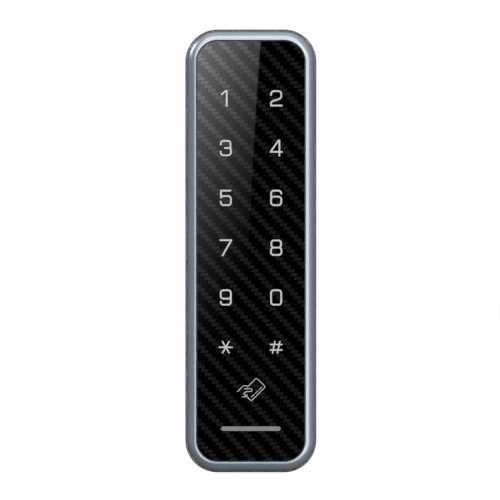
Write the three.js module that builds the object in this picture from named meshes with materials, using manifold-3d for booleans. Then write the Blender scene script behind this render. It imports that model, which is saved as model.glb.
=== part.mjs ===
// Keypad access reader: a slim touch keypad and card reader on a steel wall bracket.
//
// Millimetres. X runs across the front, Z is up, the wall is the plane y = 0 and the front
// faces -Y. The origin is the middle of the wall bracket's back face.

import * as THREE from "three";
import { mergeVertices } from "three/addons/utils/BufferGeometryUtils.js";
import Module from "manifold-3d";

const wasm = await Module();
wasm.setup();

// ---------------------------------------------------------------- driving dimensions

const BODY = { width: 44.0, height: 148.8, corner: 10.85 }; // outline of the rear cover
const CORNER_STEPS = 8; // straight steps in each quarter-round corner

// How far each concentric outline lies inside the body's outline.
const INSET = {
  bezel: 0.5, // leaves a narrow rim of the rear cover in view
  recess: 1.8, // skirt around the wall bracket
  cavity: 2.3, // inner face of the side walls
  opening: 3.65, // bezel opening around the panel
  panel: 3.95,
  ledge: 5.7, // inner edge of the ledge that carries the panel
  film: 6.0,
};

// Depth planes, from the wall to the front.
const Y = {
  wall: 0,
  skirt: -0.3,
  bracketFront: -1.2,
  floorBack: -2.2,
  floorFront: -4.2,
  split: -10.0, // front rim of the rear cover
  bezelBack: -10.3,
  boardBack: -11.5,
  boardFront: -13.1,
  ledgeBack: -16.0,
  shoulder: -16.2, // where the bezel's side turns into its rounded front
  ledgeFront: -17.5,
  panelBack: -17.8,
  panelFront: -19.6,
  crest: -20.0,
};

const CROWN = { reach: 3.3, lip: 0.1, steps: 7 }; // the bezel's rounded front, cut off by its opening

const KEYS = { columns: 2, rows: 6, pitchX: 16.8, pitchZ: 16.7, topZ: 51.2 };
const CARD_Z = -46.5; // centre of the card symbol
const STATUS_Z = -59.6; // centre of the status light
const KEY_WELL = { width: 12.5, height: 12.5, corner: 2.0 };
const CARD_WELL = { width: 14.0, height: 10.0, corner: 2.0 };
const STATUS_WELL = { width: 22.0, height: 3.0, corner: 1.0 };

const TAPE = { outer: 4.15, inner: 5.5, back: -17.55, front: -17.75 };
const FILM = { back: -17.5, front: -17.75 };
const TAIL = { half: 4.5, start: -17.65, back: -10.8, bottom: -65.0, top: -60.4, thick: 0.2 };
const MASK = { width: 31.8, height: 124.4, corner: 2.0, back: -13.2, front: -17.4, screwHole: 1.1 };
const BOARD = { width: 38.0, height: 129.0, corner: 1.5 };
const COIL = { width: 37.4, height: 128.0, corner: 3.0, band: 1.3, back: -13.45, front: -15.8 };
const FERRITE = { back: -13.15, front: -13.4 };

const COVER_SCREW = { x: 15.4, z: 67.9, shank: 1.25, head: 2.3, back: -4.3, front: -5.9, tip: -14.6 };
const COVER_SCREW_HOLE = { radius: 1.35, end: -15.0, seat: 2.6, seatFront: -6.0 };
const COVER_SCREW_BOSS = { bezel: 2.8, cover: 3.2 };
const BOARD_SCREW_Z = [42.85, 9.45, -23.95, -53.6];
const BOARD_SCREW = { shank: 0.95, hole: 1.15, head: 1.8, thick: 1.1, tip: -16.2 };
const POST = { x: 16.8, z: 40.0, radius: 1.4 }; // four posts that hold the board forward
const SEAL = { outer: 0.9, inner: 1.7, back: -9.3, front: -10.2, side: 0.1 }; // side: room in its groove

const BRACKET = { width: 32.0, corner: 4.0, top: 68.0, shoulder: -63.0, bottom: -70.3, sheet: 1.2 };
const TONGUE_WIDTH = 10.0; // the strip below the bracket's shoulder, and the tab at its foot
const WALL_SCREW = { pitch: 83.3, slotWidth: 4.5, slotLength: 9.0 };
const CABLE_WINDOW = { width: 17.0, height: 25.0, corner: 3.0 };
const CABLE = { z: 21.0, bore: 3.1, neck: 4.2, flange: 5.6 };
const HOOK = { x: 8.0, width: 6.0, root: -0.6, reach: -5.6, tip: 70.5 };
const SLOT = { top: 68.3, bottom: 64.0, side: 0.4 }; // slots in the cover that the hooks enter
const HOOK_POCKET = { half: 12.4, bottom: 62.8, top: 71.3, deep: 2.4, wall: 1.0 };
const TAMPER = { x: 9.0, z: -24.0, shaft: 1.5, guide: 1.8, window: 3.2, boss: 3.2, bossFront: -5.4 };
const LOCK = { y: -4.6, shank: 1.5, head: 2.7, webTop: -70.6, webBottom: -72.2, tabFront: -8.0 };
const LOCK_POCKET = { half: 7.0, wallHalf: 8.2, webHalf: 9.0, top: -62.0, wall: 1.2, clear: 0.4 };
const LOCK_NOTCH = { shank: 1.9, washer: 3.4 }; // half widths, open towards the wall
const LOCK_WASHER = { bore: 1.7, radius: 3.1, bottom: -72.9, top: -72.4 };
const LOCK_HEAD = { bottom: -74.3, top: -73.0, socket: 1.15, socketTop: -73.2 };

const HALF_HEIGHT = BODY.height / 2;
const JOIN = 0.5; // how far joined solids run into each other
const PAST = 1.0; // how far a cutter runs past the face it opens

// ------------------------------------------------------------------------- materials

const finish = (color, roughness, metalness) =>
  new THREE.MeshStandardMaterial({ color, roughness, metalness });

const MATERIAL = {
  bezel: finish("#8b98a6", 0.34, 0.75),
  panel: finish("#08090a", 0.06, 0.0),
  cover: finish("#47494b", 0.55, 0.0),
  steel: finish("#a9adb0", 0.38, 0.9),
  screw: finish("#b9bcbf", 0.3, 0.95),
  rubber: finish("#161718", 0.8, 0.0),
  board: finish("#12502f", 0.45, 0.0),
  mask: finish("#dfe1e2", 0.6, 0.0),
  film: finish("#b98a3c", 0.35, 0.0),
  adhesive: finish("#2a2b2c", 0.7, 0.0),
  copper: finish("#b5683a", 0.35, 0.9),
  ferrite: finish("#3a3a3d", 0.7, 0.1),
  chip: finish("#1b1c1e", 0.5, 0.0),
  can: finish("#c4c7ca", 0.25, 0.95),
  led: finish("#f3efd2", 0.3, 0.0),
  connector: finish("#e8e4d8", 0.5, 0.0),
  plunger: finish("#ececec", 0.45, 0.0),
};

// ---------------------------------------------------------------------- solid helpers

// Directions that a flat shape's own x, y and depth take.
const UNIT_X = new THREE.Vector3(1, 0, 0);
const UNIT_Y = new THREE.Vector3(0, 1, 0);
const UNIT_Z = new THREE.Vector3(0, 0, 1);
const DRAWN_FROM_FRONT = new THREE.Matrix4().makeBasis(UNIT_X, UNIT_Z, UNIT_Y.clone().negate());
const DRAWN_FROM_SIDE = new THREE.Matrix4().makeBasis(UNIT_Y, UNIT_Z, UNIT_X);

function toSolid(geometry) {
  const bare = geometry.clone();
  bare.deleteAttribute("normal");
  bare.deleteAttribute("uv");
  const merged = mergeVertices(bare);
  return new wasm.Manifold(
    new wasm.Mesh({
      numProp: 3,
      vertProperties: new Float32Array(merged.attributes.position.array),
      triVerts: new Uint32Array(merged.index.array),
    }),
  );
}

function toGeometry(solid) {
  const mesh = solid.getMesh();
  const geometry = new THREE.BufferGeometry();
  geometry.setAttribute("position", new THREE.BufferAttribute(mesh.vertProperties, 3));
  geometry.setIndex(new THREE.BufferAttribute(mesh.triVerts, 1));
  geometry.computeVertexNormals();
  return geometry;
}

function combine(base, added, removed = []) {
  let solid = toSolid(base);
  for (const geometry of added) solid = solid.add(toSolid(geometry));
  for (const geometry of removed) solid = solid.subtract(toSolid(geometry));
  return toGeometry(solid);
}

// A block between two corners.
function block(x0, x1, y0, y1, z0, z1) {
  const box = new THREE.BoxGeometry(Math.abs(x1 - x0), Math.abs(y1 - y0), Math.abs(z1 - z0));
  return box.translate((x0 + x1) / 2, (y0 + y1) / 2, (z0 + z1) / 2);
}

// A round bar along Y, from one depth to another.
function barY(x, z, radius, y0, y1, sides = 20) {
  const bar = new THREE.CylinderGeometry(radius, radius, Math.abs(y1 - y0), sides);
  return bar.translate(x, (y0 + y1) / 2, z);
}

// A round bar along Z at x = 0.
function barZ(y, radius, z0, z1, sides = 20) {
  const bar = new THREE.CylinderGeometry(radius, radius, Math.abs(z1 - z0), sides);
  return bar.rotateX(Math.PI / 2).translate(0, y, (z0 + z1) / 2);
}

// Corner points of a rounded rectangle, anticlockwise, the same number for every size.
function roundedPoints(width, height, corner, steps = CORNER_STEPS, x = 0, z = 0) {
  const points = [];
  for (let quarter = 0; quarter < 4; quarter += 1) {
    const sideX = quarter === 0 || quarter === 3 ? 1 : -1;
    const sideZ = quarter < 2 ? 1 : -1;
    for (let step = 0; step <= steps; step += 1) {
      const angle = ((quarter + step / steps) * Math.PI) / 2;
      points.push(
        new THREE.Vector2(
          x + sideX * (width / 2 - corner) + corner * Math.cos(angle),
          z + sideZ * (height / 2 - corner) + corner * Math.sin(angle),
        ),
      );
    }
  }
  return points;
}

// The body's outline, moved inwards by an inset.
function bodyPoints(inset) {
  return roundedPoints(BODY.width - 2 * inset, BODY.height - 2 * inset, BODY.corner - inset);
}

function circlePoints(x, z, radius, sides) {
  const points = [];
  for (let side = 0; side < sides; side += 1) {
    const angle = (2 * Math.PI * side) / sides;
    points.push(new THREE.Vector2(x + radius * Math.cos(angle), z + radius * Math.sin(angle)));
  }
  return points;
}

// A flat plate parallel to the wall, with holes right through it.
function plate(points, yBack, yFront, holes = []) {
  const shape = new THREE.Shape(points);
  for (const hole of holes) shape.holes.push(new THREE.Path([...hole].reverse()));
  const slab = new THREE.ExtrudeGeometry(shape, { depth: yBack - yFront, bevelEnabled: false });
  return slab.applyMatrix4(DRAWN_FROM_FRONT).translate(0, yBack, 0);
}

// A bar across the width whose section is given as [y, z] corners.
function sectionBar(corners, x0, x1) {
  const shape = new THREE.Shape(corners.map(([y, z]) => new THREE.Vector2(y, z)));
  const bar = new THREE.ExtrudeGeometry(shape, { depth: x1 - x0, bevelEnabled: false });
  return bar.applyMatrix4(DRAWN_FROM_SIDE).translate(x0, 0, 0);
}

// A closed ring whose section is swept round concentric outlines. The section is a list of
// [inset, y] corners, with the outer side listed from the front to the back, and
// outline(inset) gives the outline that a corner follows.
function sweptRing(section, outline) {
  const positions = [];
  const indices = [];
  const around = outline(section[0][0]).length;
  for (const [inset, y] of section) {
    for (const point of outline(inset)) positions.push(point.x, y, point.y);
  }
  for (let i = 0; i < section.length; i += 1) {
    const next = (i + 1) % section.length;
    for (let j = 0; j < around; j += 1) {
      const beside = (j + 1) % around;
      const corners = [i * around + j, i * around + beside, next * around + beside, next * around + j];
      indices.push(corners[0], corners[2], corners[1], corners[0], corners[3], corners[2]);
    }
  }
  const geometry = new THREE.BufferGeometry();
  geometry.setAttribute("position", new THREE.Float32BufferAttribute(positions, 3));
  geometry.setIndex(indices);
  geometry.computeVertexNormals();
  return geometry;
}

const keyPlaces = [];
for (let row = 0; row < KEYS.rows; row += 1) {
  for (let column = 0; column < KEYS.columns; column += 1) {
    keyPlaces.push([(column - 0.5) * KEYS.pitchX, KEYS.topZ - row * KEYS.pitchZ]);
  }
}

const coverScrewPlaces = [];
for (const side of [-1, 1]) {
  for (const end of [-1, 1]) coverScrewPlaces.push([side * COVER_SCREW.x, end * COVER_SCREW.z]);
}

// ------------------------------------------------------------------- front of the reader

function frontPanel() {
  return plate(bodyPoints(INSET.panel), Y.panelBack, Y.panelFront);
}

// A frame of double-sided tape between the panel and the bezel's ledge.
function panelAdhesive() {
  const section = [
    [TAPE.outer, TAPE.back],
    [TAPE.inner, TAPE.back],
    [TAPE.inner, TAPE.front],
    [TAPE.outer, TAPE.front],
  ];
  return sweptRing(section, bodyPoints);
}

// A die-cast frame: a straight side, a rounded front, and an inner ledge for the panel.
function bezelFrame() {
  const edge = INSET.opening - CROWN.lip;
  const last = Math.acos(1 - (edge - INSET.bezel) / CROWN.reach);
  const section = [
    [INSET.cavity, Y.bezelBack],
    [INSET.cavity, Y.ledgeBack],
    [INSET.ledge, Y.ledgeBack],
    [INSET.ledge, Y.ledgeFront],
    [INSET.opening, Y.ledgeFront],
    [INSET.opening, Y.crest + CROWN.lip],
    [edge, Y.crest],
  ];
  for (let step = 1; step <= CROWN.steps; step += 1) {
    const angle = (1 - step / CROWN.steps) * last;
    section.push([
      INSET.bezel + CROWN.reach * (1 - Math.cos(angle)),
      Y.shoulder + (Y.crest - Y.shoulder) * Math.sin(angle),
    ]);
  }
  section.push([INSET.bezel, Y.bezelBack]);
  const { radius, end } = COVER_SCREW_HOLE;
  const boss = COVER_SCREW_BOSS.bezel;
  const bosses = coverScrewPlaces.map(([x, z]) => barY(x, z, boss, Y.bezelBack, Y.ledgeBack - JOIN));
  const holes = coverScrewPlaces.map(([x, z]) => barY(x, z, radius, Y.bezelBack + PAST, end, 12));
  return combine(sweptRing(section, bodyPoints), bosses, holes);
}

// A printed film of touch electrodes behind the panel, with a tail round to the back board.
function touchFilm() {
  const sheet = plate(bodyPoints(INSET.film), FILM.back, FILM.front);
  const section = [
    [TAIL.start, TAIL.bottom],
    [TAIL.back, TAIL.bottom],
    [TAIL.back, TAIL.top],
    [TAIL.back - TAIL.thick, TAIL.top],
    [TAIL.back - TAIL.thick, TAIL.bottom + TAIL.thick],
    [TAIL.start, TAIL.bottom + TAIL.thick],
  ];
  return combine(sheet, [sectionBar(section, -TAIL.half, TAIL.half)]);
}

function wellPoints(well, x, z) {
  return roundedPoints(well.width, well.height, well.corner, 2, x, z);
}

// A moulded mask with one light well behind each key, the card symbol and the status light.
function lightMask() {
  const wells = keyPlaces.map(([x, z]) => wellPoints(KEY_WELL, x, z));
  wells.push(wellPoints(CARD_WELL, 0, CARD_Z));
  wells.push(wellPoints(STATUS_WELL, 0, STATUS_Z));
  const screwHoles = BOARD_SCREW_Z.map((z) => circlePoints(0, z, MASK.screwHole, 10));
  const outline = roundedPoints(MASK.width, MASK.height, MASK.corner, 3);
  return plate(outline, MASK.back, MASK.front, [...wells, ...screwHoles]);
}

// ------------------------------------------------------------------------ electronics

function coilOutline(inset) {
  return roundedPoints(COIL.width - 2 * inset, COIL.height - 2 * inset, COIL.corner - inset, 4);
}

// A band that follows the board's edge, for the coil and for the ferrite under it.
function ringBand({ back, front }) {
  const section = [
    [0, front],
    [0, back],
    [COIL.band, back],
    [COIL.band, front],
  ];
  return sweptRing(section, coilOutline);
}

function mainBoard() {
  const holes = BOARD_SCREW_Z.map((z) => circlePoints(0, z, BOARD_SCREW.hole, 12));
  return plate(roundedPoints(BOARD.width, BOARD.height, BOARD.corner, 3), Y.boardBack, Y.boardFront, holes);
}

// A surface-mounted lamp on the front of the board, with a round lens.
function lamp(x, z) {
  const [halfWidth, halfHeight] = [1.75, 1.4];
  const [back, front] = [-13.15, -13.75];
  const [lensRadius, lensFront] = [1.15, -13.95];
  const body = block(x - halfWidth, x + halfWidth, back, front, z - halfHeight, z + halfHeight);
  return combine(body, [barY(x, z, lensRadius, front + 0.05, lensFront, 12)]);
}

const ON_BOARD = Y.boardBack + 0.05; // where parts on the back of the board start

// A moulded chip with sloped sides and a pin-one dimple.
function chip(x, z, width, height, thick) {
  const topShare = 0.94; // how much of the foot's width the top keeps
  const body = new THREE.CylinderGeometry(Math.SQRT1_2 * topShare, Math.SQRT1_2, 1, 4);
  body.rotateY(Math.PI / 4).scale(width, thick, height).translate(x, ON_BOARD + thick / 2, z);
  const fromEdge = 1.1;
  const [radius, deep] = [0.4, 0.15];
  const top = ON_BOARD + thick;
  const dimple = barY(x - width / 2 + fromEdge, z + height / 2 - fromEdge, radius, top - deep, top + JOIN, 8);
  return combine(body, [], [dimple]);
}

// A metal crystal can with round ends on a brim.
function crystalCan(x, z) {
  const brim = { width: 11.0, height: 4.6, corner: 2.25, thick: 0.5 };
  const can = { width: 10.0, height: 3.7, corner: 1.8, top: 3.4, bottom: 0.2 };
  const brimPoints = roundedPoints(brim.width, brim.height, brim.corner, 4, x, z);
  const canPoints = roundedPoints(can.width, can.height, can.corner, 4, x, z);
  const drawnCan = plate(canPoints, ON_BOARD + can.top, ON_BOARD + can.bottom);
  return combine(plate(brimPoints, ON_BOARD + brim.thick, ON_BOARD), [drawnCan]);
}

// A piezo sounder: a drum with a sound hole in its top.
function buzzer(x, z) {
  const drum = { radius: 6.0, height: 5.2 };
  const soundHole = { radius: 1.2, deep: 1.2 };
  const top = ON_BOARD + drum.height;
  const body = barY(x, z, drum.radius, ON_BOARD, top, 28);
  return combine(body, [], [barY(x, z, soundHole.radius, top - soundHole.deep, top + PAST, 12)]);
}

// A can capacitor on a square foot, with a groove pressed round it.
function capacitor(x, z) {
  const profile = [
    [0, 0],
    [3.1, 0],
    [3.1, 1.4],
    [2.85, 1.6],
    [2.85, 1.9],
    [3.1, 2.1],
    [3.1, 5.2],
    [2.8, 5.5],
    [0, 5.5],
  ].map(([radius, height]) => new THREE.Vector2(radius, height));
  const foot = { half: 3.3, thick: 0.7, seat: 0.3 };
  const can = new THREE.LatheGeometry(profile, 16).translate(x, ON_BOARD + foot.seat, z);
  const top = ON_BOARD + foot.thick;
  return combine(block(x - foot.half, x + foot.half, ON_BOARD, top, z - foot.half, z + foot.half), [can]);
}

// A drum core: a square foot, a narrow middle and a round top flange.
function inductor(x, z) {
  const foot = { half: 3.2, thick: 0.8 };
  const core = { radius: 2.2, top: 2.6 };
  const flange = { radius: 3.1, bottom: 2.3, top: 3.2 };
  const { half } = foot;
  const base = block(x - half, x + half, ON_BOARD, ON_BOARD + foot.thick, z - half, z + half);
  const middle = barY(x, z, core.radius, ON_BOARD + JOIN, ON_BOARD + core.top, 12);
  const top = barY(x, z, flange.radius, ON_BOARD + flange.bottom, ON_BOARD + flange.top, 12);
  return combine(base, [middle, top]);
}

// A regulator with three legs on one side and a heat-spreading tab on the other.
function regulator(x, z) {
  const half = { width: 3.25, height: 2.8, tab: 2.6, leg: 0.4 };
  const inside = half.height - 0.3; // where the metal enters the moulding
  const [reach, legPitch] = [4.2, 2.3];
  const top = ON_BOARD + 2.3;
  const metalTop = ON_BOARD + 0.5;
  const body = block(x - half.width, x + half.width, ON_BOARD, top, z - half.height, z + half.height);
  const tab = block(x - half.tab, x + half.tab, ON_BOARD, metalTop, z + inside, z + reach);
  const legs = [-1, 0, 1].map((place) => {
    const middle = x + place * legPitch;
    return block(middle - half.leg, middle + half.leg, ON_BOARD, metalTop, z - reach, z - inside);
  });
  return combine(body, [tab, ...legs]);
}

// The socket that the installation cable plugs into, open towards the wall.
function cableHeader(x, z) {
  const shell = { half: 7.5, halfHeight: 3.0, top: ON_BOARD + 5.6 };
  const mouth = { half: 6.7, halfHeight: 2.2, floor: ON_BOARD + 1.2 };
  const latch = { half: 2.5, floor: ON_BOARD + 2.4, deep: 1.0 };
  const pin = { count: 6, pitch: 2.0, half: 0.3, bottom: ON_BOARD + 1.0, top: ON_BOARD + 4.6 };
  const spanning = (part, low, high, z0, z1) => block(x - part.half, x + part.half, low, high, z0, z1);
  const edge = z + shell.halfHeight;
  const hollows = [
    spanning(mouth, mouth.floor, shell.top + PAST, z - mouth.halfHeight, z + mouth.halfHeight),
    spanning(latch, latch.floor, shell.top + PAST, edge - latch.deep, edge + PAST),
  ];
  const pins = [];
  for (let index = 0; index < pin.count; index += 1) {
    const pinX = x + (index - (pin.count - 1) / 2) * pin.pitch;
    pins.push(block(pinX - pin.half, pinX + pin.half, pin.bottom, pin.top, z - pin.half, z + pin.half));
  }
  const body = spanning(shell, ON_BOARD, shell.top, z - shell.halfHeight, edge);
  return combine(combine(body, [], hollows), pins);
}

// The slim connector that takes the touch film's tail.
function tailConnector() {
  const body = { half: 6.0, thick: 1.3, bottom: -60.1, top: -57.4 };
  const mouth = { half: 4.8, back: 0.8, front: 0.4, top: -58.8 };
  const outside = block(-body.half, body.half, ON_BOARD, ON_BOARD + body.thick, body.bottom, body.top);
  const [front, back] = [ON_BOARD + mouth.front, ON_BOARD + mouth.back];
  return combine(outside, [], [block(-mouth.half, mouth.half, front, back, body.bottom - PAST, mouth.top)]);
}

// --------------------------------------------------------------------- tamper contact

const SWITCH = { top: -10.4, half: 3.0, button: 1.2, travel: 0.4 };
const FLANGE = { back: -6.8, front: -7.6, radius: 2.6 };
const STEM = { radius: 1.1, front: -9.8 };
const TIP = { shoulder: -0.75, radius: 1.15, edge: -0.25, end: -0.05 };

function tamperSwitch() {
  const { x, z } = TAMPER;
  const { half } = SWITCH;
  const body = block(x - half, x + half, ON_BOARD, SWITCH.top, z - half, z + half);
  return combine(body, [barY(x, z, SWITCH.button, SWITCH.top - JOIN, SWITCH.top + SWITCH.travel, 12)]);
}

// A sprung pin: its domed tip meets the wall through the bracket's window, and its stem
// bears on the switch.
function tamperPlunger() {
  const profile = [
    [0, STEM.front],
    [STEM.radius, STEM.front],
    [STEM.radius, FLANGE.front],
    [FLANGE.radius, FLANGE.front],
    [FLANGE.radius, FLANGE.back],
    [TAMPER.shaft, FLANGE.back],
    [TAMPER.shaft, TIP.shoulder],
    [TIP.radius, TIP.edge],
    [0, TIP.end],
  ].map(([radius, y]) => new THREE.Vector2(radius, y));
  return new THREE.LatheGeometry(profile, 16).translate(TAMPER.x, 0, TAMPER.z);
}

// The compression spring between the switch and the plunger's flange.
class SpringCurve extends THREE.Curve {
  constructor(radius, length, turns) {
    super();
    this.radius = radius;
    this.length = length;
    this.turns = turns;
  }

  getPoint(t, target = new THREE.Vector3()) {
    const angle = 2 * Math.PI * this.turns * t;
    return target.set(this.radius * Math.cos(angle), this.length * t, this.radius * Math.sin(angle));
  }
}

function tamperSpring() {
  const wire = 0.22;
  const [radius, turns, stepsPerTurn] = [1.75, 4, 12];
  const clear = 0.1 + wire; // from the switch or the flange to the middle of the wire
  const curve = new SpringCurve(radius, FLANGE.front - SWITCH.top - 2 * clear, turns);
  const shape = new THREE.Shape(circlePoints(0, 0, wire, 6));
  const options = { steps: turns * stepsPerTurn, extrudePath: curve, bevelEnabled: false };
  return new THREE.ExtrudeGeometry(shape, options).translate(TAMPER.x, SWITCH.top + clear, TAMPER.z);
}

// ------------------------------------------------------------------------- rear cover

const INSIDE_SIDE_WALL = 2.0; // how far the pockets' walls stay inside the outline, within the side walls
const INSIDE_OUTSIDE = 0.8; // the lock web runs almost to the outside
const LOCK_WEB_BACK = -1.0;
const RELIEF = { start: 64.5, skirt: 66.0, end: -1.75 }; // line along which the skirt's top slopes away

// The pocket behind each hook slot, which keeps the slots from opening into the reader.
function hookPockets() {
  const { half, bottom, top, deep, wall } = HOOK_POCKET;
  const inner = Y.floorFront - deep;
  const walls = block(-half, half, Y.floorFront + JOIN, inner - wall, bottom, HALF_HEIGHT - INSIDE_SIDE_WALL);
  const hollows = [];
  for (const side of [-1, 1]) {
    const x0 = side * HOOK.x - HOOK.width / 2 - SLOT.side;
    const x1 = side * HOOK.x + HOOK.width / 2 + SLOT.side;
    hollows.push(block(x0, x1, Y.floorFront, inner, SLOT.bottom, top));
    hollows.push(block(x0, x1, Y.floorBack + PAST, Y.floorFront - JOIN, SLOT.bottom, SLOT.top));
  }
  return { walls, hollows };
}

// The well at the bottom that takes the bracket's tab, and the notches that let the cover
// swing clear of the lock screw: both notches are open towards the wall.
function lockPocket() {
  const { half, wallHalf, webHalf, top, wall, clear } = LOCK_POCKET;
  const front = LOCK.tabFront - clear;
  const skin = front - wall;
  const end = -HALF_HEIGHT;
  const walls = block(-wallHalf, wallHalf, Y.floorFront + JOIN, skin, end + INSIDE_SIDE_WALL, top + wall);
  const web = block(-webHalf, webHalf, LOCK_WEB_BACK, skin, end + INSIDE_OUTSIDE, LOCK.webTop);
  const well = block(-half, half, Y.floorBack + PAST, front, LOCK.webTop, top);
  const slotted = (radius, z0, z1) => [
    barZ(LOCK.y, radius, z0, z1, 24),
    block(-radius, radius, LOCK.y, PAST, z0, z1),
  ];
  const notches = [
    ...slotted(LOCK_NOTCH.shank, LOCK.webBottom - JOIN, LOCK.webTop + PAST),
    ...slotted(LOCK_NOTCH.washer, end - PAST, LOCK.webBottom),
  ];
  return { walls: [walls, web], hollows: [well, ...notches] };
}

function rearCover() {
  const shell = plate(bodyPoints(0), Y.skirt, Y.split);
  const recess = plate(bodyPoints(INSET.recess), Y.skirt + PAST, Y.floorBack);
  const cavity = plate(bodyPoints(INSET.cavity), Y.floorFront, Y.split - PAST);
  const sealGroove = sweptRing(
    [
      [SEAL.outer - SEAL.side, Y.split - PAST],
      [SEAL.outer - SEAL.side, SEAL.back + SEAL.side],
      [SEAL.inner + SEAL.side, SEAL.back + SEAL.side],
      [SEAL.inner + SEAL.side, Y.split - PAST],
    ],
    bodyPoints,
  );
  // The top of the skirt slopes away, so that it clears the wall as the reader swings.
  const relief = sectionBar(
    [
      [PAST, RELIEF.start],
      [Y.skirt, RELIEF.skirt],
      [RELIEF.end, HALF_HEIGHT + PAST],
      [PAST, HALF_HEIGHT + PAST],
    ].reverse(),
    -BODY.width,
    BODY.width,
  );
  const tray = combine(shell, [], [recess, cavity]);

  const hooks = hookPockets();
  const lock = lockPocket();
  const added = [hooks.walls, ...lock.walls];
  const removed = [...hooks.hollows, ...lock.hollows];
  for (const [x, z] of coverScrewPlaces) {
    const { radius, seat, seatFront } = COVER_SCREW_HOLE;
    added.push(barY(x, z, COVER_SCREW_BOSS.cover, Y.floorFront + JOIN, Y.split));
    removed.push(barY(x, z, radius, Y.floorBack + PAST, Y.split - PAST, 12));
    removed.push(barY(x, z, seat, Y.floorBack + PAST, seatFront, 20));
  }
  for (const side of [-1, 1]) {
    for (const end of [-1, 1]) {
      added.push(barY(side * POST.x, end * POST.z, POST.radius, Y.floorFront + JOIN, Y.boardBack + 0.2, 12));
    }
  }
  added.push(barY(TAMPER.x, TAMPER.z, TAMPER.boss, Y.floorFront + JOIN, TAMPER.bossFront, 16));
  removed.push(barY(TAMPER.x, TAMPER.z, TAMPER.guide, Y.floorBack + PAST, TAMPER.bossFront - PAST, 16));
  removed.push(barY(0, CABLE.z, CABLE.neck + 0.1, Y.floorBack + PAST, Y.floorFront - PAST, 24));
  return combine(tray, added, [...removed, sealGroove, relief]);
}

// The sealing ring in the cover's rim.
function rearSeal() {
  const section = [
    [SEAL.outer, SEAL.front],
    [SEAL.outer, SEAL.back],
    [SEAL.inner, SEAL.back],
    [SEAL.inner, SEAL.front],
  ];
  return sweptRing(section, bodyPoints);
}

// A rubber bush round the cable hole, gripping the cover's floor between two flanges.
function cableGrommet() {
  const gap = 0.1; // between the flanges and the cover's floor
  const chamfer = 0.4;
  const inner = Y.floorFront - 1.0;
  const profile = [
    [CABLE.bore, inner],
    [CABLE.flange - chamfer, inner],
    [CABLE.flange, inner + chamfer],
    [CABLE.flange, Y.floorFront - gap],
    [CABLE.neck, Y.floorFront - gap],
    [CABLE.neck, Y.floorBack + gap],
    [CABLE.flange, Y.floorBack + gap],
    [CABLE.flange, Y.floorBack + gap + chamfer],
    [CABLE.bore + 0.5, Y.floorBack + 1.1],
    [CABLE.bore, Y.floorBack + 0.7],
    [CABLE.bore, inner],
  ].map(([radius, y]) => new THREE.Vector2(radius, y));
  return new THREE.LatheGeometry(profile, 24).translate(0, 0, CABLE.z);
}

// -------------------------------------------------------------------------- fasteners

const PAN_HEAD = { edge: 0.35, flat: 0.75 }; // height of the rounded edge, share of the radius left flat
const CROSS = { arm: 0.55, slit: 0.14, deep: 0.6 }; // shares of the head's radius and height

// A screw along Y: a flat pan head towards the wall with a cross recess, and a plain shank.
function screwY(x, z, { back, front, head, tip, shank }) {
  const profile = [
    [0, tip],
    [shank / 2, tip],
    [shank, tip + shank],
    [shank, front],
    [head, front],
    [head, back - PAN_HEAD.edge],
    [head * PAN_HEAD.flat, back],
    [0, back],
  ].map(([radius, y]) => new THREE.Vector2(radius, y));
  const screw = new THREE.LatheGeometry(profile, 12).translate(x, 0, z);
  const arm = head * CROSS.arm;
  const slit = head * CROSS.slit;
  const deep = back - (back - front) * CROSS.deep;
  const cross = [
    block(x - arm, x + arm, deep, back + PAST, z - slit, z + slit),
    block(x - slit, x + slit, deep, back + PAST, z - arm, z + arm),
  ];
  return combine(screw, [], cross);
}

function lockWasher() {
  const { bore, radius: rim, bottom, top } = LOCK_WASHER;
  const profile = [
    [bore, bottom],
    [rim, bottom],
    [rim, top],
    [bore, top],
    [bore, bottom],
  ].map(([radius, z]) => new THREE.Vector2(radius, z));
  return new THREE.LatheGeometry(profile, 20).rotateX(Math.PI / 2).translate(0, LOCK.y, 0);
}

// The screw that clamps the cover to the bracket's tab from below: a low head with a
// six-sided socket, and its shank pointing up.
function lockScrew() {
  const { bottom, top, socket, socketTop } = LOCK_HEAD;
  const tip = { radius: 0.9, start: -65.6, end: -64.8 };
  const profile = [
    [0, bottom],
    [1.9, bottom],
    [LOCK.head, bottom + 0.6],
    [LOCK.head, top],
    [LOCK.shank, top],
    [LOCK.shank, tip.start],
    [tip.radius, tip.end],
    [0, tip.end],
  ].map(([radius, z]) => new THREE.Vector2(radius, z));
  const screw = new THREE.LatheGeometry(profile, 20).rotateX(Math.PI / 2).translate(0, LOCK.y, 0);
  return combine(screw, [], [barZ(LOCK.y, socket, bottom - PAST, socketTop, 6)]);
}

// ----------------------------------------------------------------------- wall bracket

function slotPoints(x, z, width, height) {
  return roundedPoints(width, height, Math.min(width, height) / 2, 5, x, z);
}

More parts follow.
